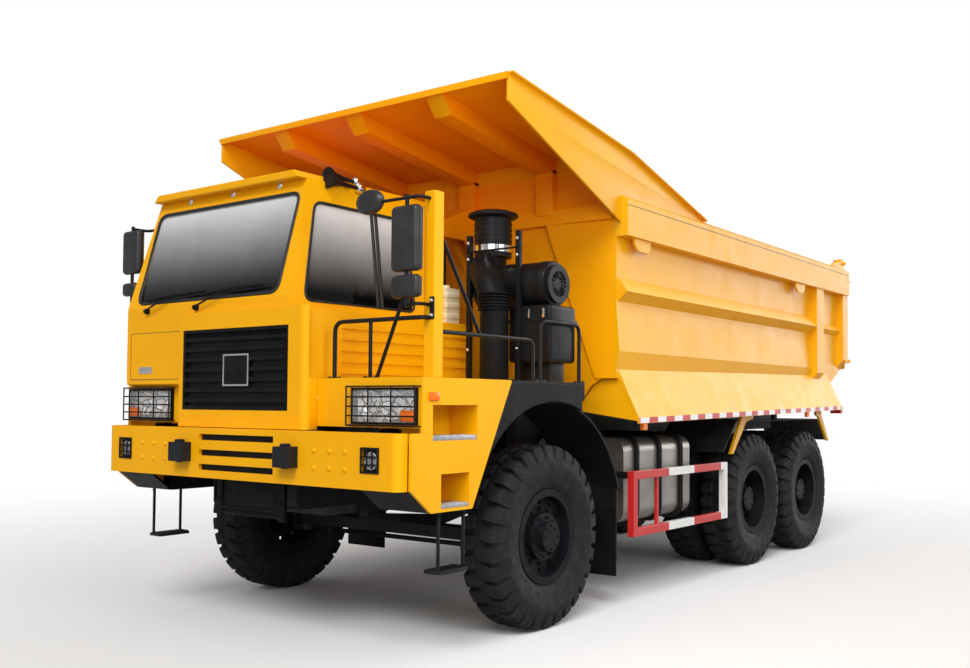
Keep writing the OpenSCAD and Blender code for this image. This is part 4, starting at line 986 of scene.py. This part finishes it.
# stay brackets on the post
add_block(arms, (1.545, -1.352, 2.215), (1.583, -1.344, 2.360), 0.002)
bolts = bmesh.new()
for z in (2.240, 2.335):
    add_nut(bolts, (1.564, -1.352, z), (0, -1, 0), 0.010)
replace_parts(new_piece("mirror_housings", shells, housing, "chassis"), "mirrors")
new_piece("mirror_glasses", glasses, silvered, "chassis")
new_piece("mirror_arms", arms, black_paint, "chassis")


# Air intake. A black spun canister lies across the platform on two posts, with a ribbed
# pre-cleaner above it, a clip-lidded filter box below and a moulded coolant bottle beside it.
bm = bmesh.new()
add_turned(bm, ((0, 0), (0, 0.150), (0.010, 0.170), (0.030, 0.1795), (0.690, 0.1795), (0.706, 0.172),
                (0.710, 0.150), (0.716, 0.150), (0.720, 0.140), (0.724, 0.150), (0.740, 0.148),
                (0.740, 0.100), (0.728, 0.095), (0.728, 0)), (0.760, 0.200, 2.600), (1, 0, 0), 56)
for n in range(16):
    turn = math.pi * n / 8
    reach = Vector((0, math.sin(turn), math.cos(turn)))
    add_pipe(bm, [Vector((1.494, 0.200, 2.600)) + reach * r for r in (0.050, 0.144)], 0.006, 6)
add_turned(bm, ((2.700, 0), (2.700, 0.110), (2.846, 0.110), (2.852, 0.150), (2.885, 0.150), (2.890, 0.145),
                (2.945, 0.145), (2.950, 0.150), (3.165, 0.150), (3.172, 0.186), (3.184, 0.204),
                (3.196, 0.205), (3.206, 0.200), (3.226, 0.150), (3.238, 0.080), (3.240, 0)),
           (0.850, 0.200, 0), (0, 0, 1), 56)
add_shell(bm, (1.140, 0.0203, 1.990), (1.540, 0.380, 2.430), 0.030)
add_block(bm, (1.130, 0.0150, 2.300), (1.550, 0.385, 2.322), 0.006)
add_block(bm, (1.200, 0.100, deck_z), (1.480, 0.300, 2.000), 0.006)
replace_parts(new_piece("intake_drums", bm, black_paint, "chassis", 30), "air_cleaner")
bm = bmesh.new()
hose = [(0.855, 0.190, 2.845), (0.860, 0.040, 2.740), (1.060, -0.110, 2.590), (1.115, -0.118, 2.430),
        (1.115, -0.118, deck_z)]
add_pipe(bm, rounded(hose, 0.13), 0.112, 28)
for k in range(6):
    add_turned(bm, ((-0.010, 0.100), (-0.006, 0.128), (0.006, 0.128), (0.010, 0.100)),
               (1.112, -0.118, 2.395 + k * 0.024), (0, 0, 1), 32)
new_piece("intake_hose", bm, black_plastic, "chassis", 50)
bands, shiny = bmesh.new(), bmesh.new()
for x in (0.840, 1.060, 1.390):
    add_turned(bands, ((-0.020, 0.1790), (-0.020, 0.1850), (0.020, 0.1850), (0.020, 0.1790)),
               (x, 0.200, 2.600), (1, 0, 0), 48)
for k in range(4):
    add_turned(bands, ((-0.008, 0.1490), (-0.008, 0.1545), (0.008, 0.1545), (0.008, 0.1490)),
               (0.850, 0.200, 2.985 + k * 0.045), (0, 0, 1), 40)
add_turned(shiny, ((0, 0.1490), (0, 0.1535), (0.055, 0.1535), (0.055, 0.1490)), (0.850, 0.200, 2.890),
           (0, 0, 1), 48)
for x in (1.200, 1.340, 1.480):
    add_block(shiny, (x - 0.012, 0.012, 2.330), (x + 0.012, 0.0205, 2.400), 0.003)
new_piece("intake_bands", bands, black_paint, "chassis")
new_piece("intake_clamps", shiny, chrome, "chassis")
for x in (0.772, 1.257):
    for z in (2.100, 2.820, 2.950):
        add_nut(bolts, (x, -0.020, z), (0, -1, 0), 0.010)
new_piece("bright_bolts", bolts, chrome, "chassis")
cream = mottled("cream_plastic", (0.72, 0.60, 0.36), (0.80, 0.72, 0.52), (7.0,), None, (0.0004, 200.0, 2.0),
                Roughness=0.45, Subsurface_Weight=0.1)
coat(cream, "expansion_tank")
bm = bmesh.new()
for k in range(3):
    add_shell(bm, (0.432, -0.088, 2.345 + k * 0.085), (0.608, 0.088, 2.405 + k * 0.085), 0.020)
new_piece("coolant_bottle_ribs", bm, cream, "chassis")


# Tanks and guards. A welded aluminium fuel tank with black straps hangs on the left rail, a
# painted oil tank on the right, and square-tube guards in red and white stand outside them.
aluminium = mottled("tank_aluminium", (0.34, 0.32, 0.29), (0.48, 0.46, 0.43), (3.0, 6.0),
                    (0.28, 0.46, 60.0, 3.0, (1, 30, 1)), (0.0003, 240.0, 2.0, (1, 40, 1)), Metallic=0.85)
coat(aluminium, "fuel_tank")
bm = bmesh.new()
for sign, y_list in ((1, (1.560, 1.975, 2.390)), (-1, (1.560, 1.980))):
    for y in y_list:
        strap = [(sign * x, y, z) for x, z in ((0.486, 0.936), (0.486, 1.384), (1.404, 1.384), (1.404, 0.636),
                                               (0.486, 0.636))]
        add_pipe(bm, rounded(strap, 0.122, True, 8), 0.032, 8, True)
new_piece("tank_straps", bm, black_paint, "chassis")
striped, tree, shader, place = start_finish("guard_stripes")
from_axle = sum_of(tree, "SUBTRACT", part_of(tree, place, "Y"), axle_y)
ramp = tree.nodes.new("ShaderNodeValToRGB")
ramp.color_ramp.interpolation = "CONSTANT"
red, white = (0.56, 0.020, 0.018, 1), (0.80, 0.79, 0.76, 1)
tree.links.new(between(tree, from_axle, 1.0, 3.2, 0.0, 1.0), ramp.inputs["Fac"])
stripes = ((0.0, red), (0.366, white), (0.591, red), (0.855, white))
while len(ramp.color_ramp.elements) < len(stripes):
    ramp.color_ramp.elements.new(0.5)
for element, (where, colour) in zip(ramp.color_ramp.elements, stripes):
    element.position = where
    element.color = colour
inward = between(tree, sum_of(tree, "ABSOLUTE", part_of(tree, place, "X")), 1.537, 1.538, 1.0, 0.0)
soil = between(tree, cloud(tree, place, 30.0, 6.0), 0.62, 0.75, 0.0, 0.5)
soiled = two_tone(tree, soil, ramp.outputs["Color"], (0.20, 0.17, 0.14))
tree.links.new(two_tone(tree, inward, soiled, (0.008, 0.008, 0.008)), shader.inputs["Base Color"])
tree.links.new(between(tree, cloud(tree, place, 12.0), 0.3, 0.7, 0.28, 0.42), shader.inputs["Roughness"])
relief(tree, shader, cloud(tree, place, 260.0, 2.0), 0.0003)
shader.inputs["Coat Weight"].default_value = 0.3
coat(striped, "side_guards")
ease_edges(0.004, "side_guards")


# Bed. Thick plate welded into an open box with a canopy over the cab, folded top rails, sloping
# side skirts and a top-hung tailgate, all in amber; tape in red and white edges the skirts.
bed_paint = sprayed("bed_paint", (0.90, 0.430, 0.001), (0.88, 0.400, 0.001), 0.36, 0.12, (0.50, 0.26, 0.04),
                    0.12, 0.4)
coat(bed_paint, "bed_side_left", "bed_side_right", "tailgate")
ease_edges(0.006, "bed_side_left", "bed_side_right", "tailgate")


def black_below_painted_shade(tree, place):
    """The underside of the floor below 1.93 m, painted black as painted shade under the bed."""
    return between(tree, part_of(tree, place, "Z"), 1.930, 1.935, 1.0, 0.0)


# amber floor whose underside is painted black, painted shade under the bed
underside = sprayed("floor_paint_black_painted_shade", (0.92, 0.395, 0.001), (0.90, 0.365, 0.001), 0.40, 0.05,
                    (0.50, 0.26, 0.04), 0.1, 0.3, (black_below_painted_shade, (0.010, 0.009, 0.008)))
coat(underside, "bed_floor")
ease_edges(0.006, "bed_floor")
wall_y, inside_x, canopy_x, front_y, front_z = 0.955, 1.5397, 1.607, -0.605, 4.020
bend_y, bend_z = 1.080, 3.792


def roof_line(y):
    """Upper face of the canopy's sheet."""
    return front_z + (bend_z - front_z) * (y - front_y) / (bend_y - front_y)


bm = bmesh.new()
add_block(bm, (-inside_x, wall_y, 1.890), (inside_x, wall_y + 0.030, 3.412), 0.003)
add_block(bm, (-canopy_x + 0.001, wall_y, 3.4105),
          (canopy_x - 0.001, wall_y + 0.030, roof_line(wall_y) - 0.004), 0.003)
sheet_end, sheet_z = wall_y + 0.03, roof_line(wall_y + 0.03)
sheet = ((front_y, front_z - 0.020), (sheet_end, sheet_z - 0.020), (sheet_end, sheet_z), (front_y, front_z))
add_slab(bm, -canopy_x + 0.001, canopy_x - 0.001, sheet, 0.003)
add_block(bm, (-canopy_x, front_y - 0.015, front_z - 0.052), (canopy_x, front_y + 0.005, front_z), 0.005)
rib = ((front_y + 0.030, roof_line(front_y + 0.030) - 0.015),
       (front_y + 0.150, roof_line(front_y + 0.150) - 0.150), (wall_y + 0.01, roof_line(wall_y) - 0.150),
       (wall_y + 0.01, roof_line(wall_y) - 0.015))
for x in (-0.870, 0.0, 0.870):
    add_slab(bm, x - 0.085, x + 0.085, rib, 0.006)
    add_block(bm, (x - 0.085, wall_y - 0.075, 3.300),
              (x + 0.085, wall_y + 0.010, roof_line(wall_y) - 0.110), 0.006)
add_block(bm, (-inside_x, wall_y - 0.060, 3.215), (inside_x, wall_y + 0.010, 3.345), 0.006)
for x in (-0.500, 0.500):
    add_block(bm, (x - 0.040, wall_y - 0.060, 1.890), (x + 0.040, wall_y + 0.010, 3.230), 0.006)
outer = bmesh.new()
for sign in (1, -1):
    plate = ((front_y, front_z), (front_y, 3.813), (wall_y - 0.0003, 3.183), (wall_y - 0.0003, 3.4103),
             (2.560, 3.4103), (2.560, 3.415), (bend_y, bend_z))
    add_slab(outer, *sorted((sign * (canopy_x - 0.020), sign * canopy_x)), plate, 0.003)
    lip = ((front_y, front_z), (front_y, front_z - 0.012), (bend_y, bend_z - 0.012), (2.500, 3.418),
           (2.500, 3.430), (bend_y, bend_z))
    add_slab(outer, *sorted((sign * (canopy_x - 0.002), sign * (canopy_x + 0.042))), lip, 0.003)
    # corner plate, slanting back from a crease to the side wall
    slope = math.tan(math.radians(5))
    corners = [bm.verts.new((sign * x, y, z))
               for x, z in ((0.883, 3.220), (1.360, 1.890), (inside_x, 1.890), (inside_x, 3.220))
               for y in (wall_y - (inside_x - x) * slope, wall_y + 0.005)]
    for face in ((0, 2, 4, 6), (1, 3, 5, 7), (0, 2, 3, 1), (2, 4, 5, 3), (4, 6, 7, 5), (6, 0, 1, 7)):
        bm.faces.new([corners[i] for i in face])
    # ear for the hoist's eye, braced to the wall
    ear = ((0.380, 3.140), (0.380, 3.280), (0.480, 3.290), (wall_y + 0.001, 3.500), (wall_y + 0.001, 2.900),
           (wall_y - 0.180, 3.140))
    add_slab(bm, *sorted((sign * 0.062, sign * 0.092)), ear, 0.003)


def painted_shade_coat(tree, place):
    """Painted shade: where the paint is redder, high up and under the sheet, but not on the lip and the ribs'
    front ends.
    """
    height = part_of(tree, place, "Z")
    facing = part_of(tree, tree.nodes.new("ShaderNodeTexCoord").outputs["Normal"], "Y")
    front = sum_of(tree, "MULTIPLY", between(tree, facing, -0.3, -0.6, 0.0, 1.0),
                   between(tree, height, 3.62, 3.72, 0.0, 1.0))
    return sum_of(tree, "MULTIPLY", between(tree, height, 2.95, 3.55, 0.0, 1.0),
                  sum_of(tree, "SUBTRACT", 1.0, front))


# a redder copy of the amber, with a still redder coat high up, as painted shade of the canopy's underside and
# the wall below it
canopy_paint_painted_shade = sprayed("canopy_paint_painted_shade", (0.93, 0.400, 0.0005), (0.91, 0.370, 0.0005), 0.38, 0.04, shine=0.15,
                       second=(painted_shade_coat, (0.92, 0.270, 0.0005)))
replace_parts(new_piece("canopy_and_wall", bm, canopy_paint_painted_shade, "bed"), "bed_front")
new_piece("canopy_sides", outer, bed_paint, "bed")


def add_sheet(bm, y0, y1, outline):
    """A flat plate across the truck, cut to an outline of (sideways, height)."""
    join_ends(bm, [[bm.verts.new((x, y, z)) for x, z in outline] for y in (y0, y1)])


feet, seams, cheeks, shade_panels = (bmesh.new() for _ in range(4))
for sign in (1, -1):
    foot = ((1.000, 1.600), (1.136, 1.618), (1.312, 1.831), (1.412, 1.888), (1.412, 1.894), (1.000, 1.894))
    add_sheet(feet, wall_y, wall_y + 0.030, [(sign * x, z) for x, z in foot])
    add_block(seams, *on_side(sign, (1.6698, 0.960, 3.322), (1.6706, 6.530, 3.328)), 0)
    cheek = ((6.050, 3.405), (6.534, 3.405), (6.534, 3.500), (6.495, 3.535), (6.440, 3.535), (6.380, 3.490),
             (6.110, 3.450))
    add_slab(cheeks, *sorted((sign * 1.592, sign * 1.616)), cheek, 0.004)
    add_nut(cheeks, (sign * 1.616, 6.470, 3.480), (sign, 0, 0), 0.022)
    for z in (2.240, 3.250):
        add_block(cheeks, *on_side(sign, (1.612, 6.440, z - 0.030), (1.648, 6.600, z + 0.030)), 0.004)
        add_nut(cheeks, (sign * 1.648, 6.575, z), (sign, 0, 0), 0.014)
    # black sheets between the bogie wheels under the skirts, painted shade of the space under the bed
    add_block(shade_panels, *on_side(sign, (1.296, 4.050, 1.405), (1.304, 4.860, 1.620)), 0.002)
# the wall's feet take the canopy's redder copy of the amber, painted shade as well
new_piece("wall_feet", feet, canopy_paint_painted_shade, "bed")
new_piece("rail_seams", seams, cab_rubber, "bed")
new_piece("gate_cheeks", cheeks, bed_paint, "bed")
new_piece("painted_shade_panels", shade_panels, black_plastic, "bed")
bed_lens, tree, shader, place = start_finish("bed_lamp_lens")
behind = between(tree, part_of(tree, place, "Y"), 5.4 + axle_y, 5.5 + axle_y, 0.0, 1.0)
tree.links.new(two_tone(tree, behind, (0.80, 0.16, 0.01), (0.42, 0.010, 0.010)), shader.inputs["Base Color"])
tree.links.new(between(tree, cloud(tree, place, 30.0), 0.3, 0.7, 0.14, 0.26), shader.inputs["Roughness"])
relief(tree, shader, cloud(tree, place, 220.0, 2.0, (1, 1, 6)), 0.0008)
coat(bed_lens, "bed_lamps")
mud_rubber = mottled("mudguard_rubber", (0.012, 0.012, 0.012), (0.030, 0.027, 0.024), (6.0, 6.0),
                     (0.6, 0.85, 20.0), (0.0006, 120.0, 3.0), 0.4)
coat(mud_rubber, "mudguards")
tape, tree, shader, place = start_finish("edge_tape")
step = between(tree, sum_of(tree, "PINGPONG", part_of(tree, place, "Y"), 0.15), 0.0745, 0.0755, 0.0, 1.0)
tree.links.new(two_tone(tree, step, (0.55, 0.03, 0.03), (0.80, 0.80, 0.80)), shader.inputs["Base Color"])
tree.links.new(between(tree, cloud(tree, place, 40.0), 0.3, 0.7, 0.25, 0.4), shader.inputs["Roughness"])
relief(tree, shader, cloud(tree, place, 700.0, 1.0), 0.0004)
for side, sign in (("left", 1), ("right", -1)):
    bm = bmesh.new()
    slope = math.tan(math.radians(1.2))
    strip = [(y, 1.517 + (y - 1.0) * slope + up) for y, up in ((1.010, 0.002), (5.910, 0.002), (5.910, 0.048),
                                                               (1.010, 0.048))]
    add_slab(bm, sign * 1.7495, sign * 1.7510, strip, 0)
    new_piece(f"edge_tape_{side}", bm, tape, "bed")


# Hoist. A painted barrel with chromed stages that slide out of each other to lift the bed.
hoist_chrome = mottled("hoist_chrome", (0.62, 0.63, 0.65), (0.74, 0.75, 0.77), (5.0,),
                       (0.10, 0.2, 50.0, 3.0, (1, 1, 30)), Metallic=1.0)
coat(hoist_chrome, "hoist_stage_1", "hoist_stage_2", "hoist_rod")
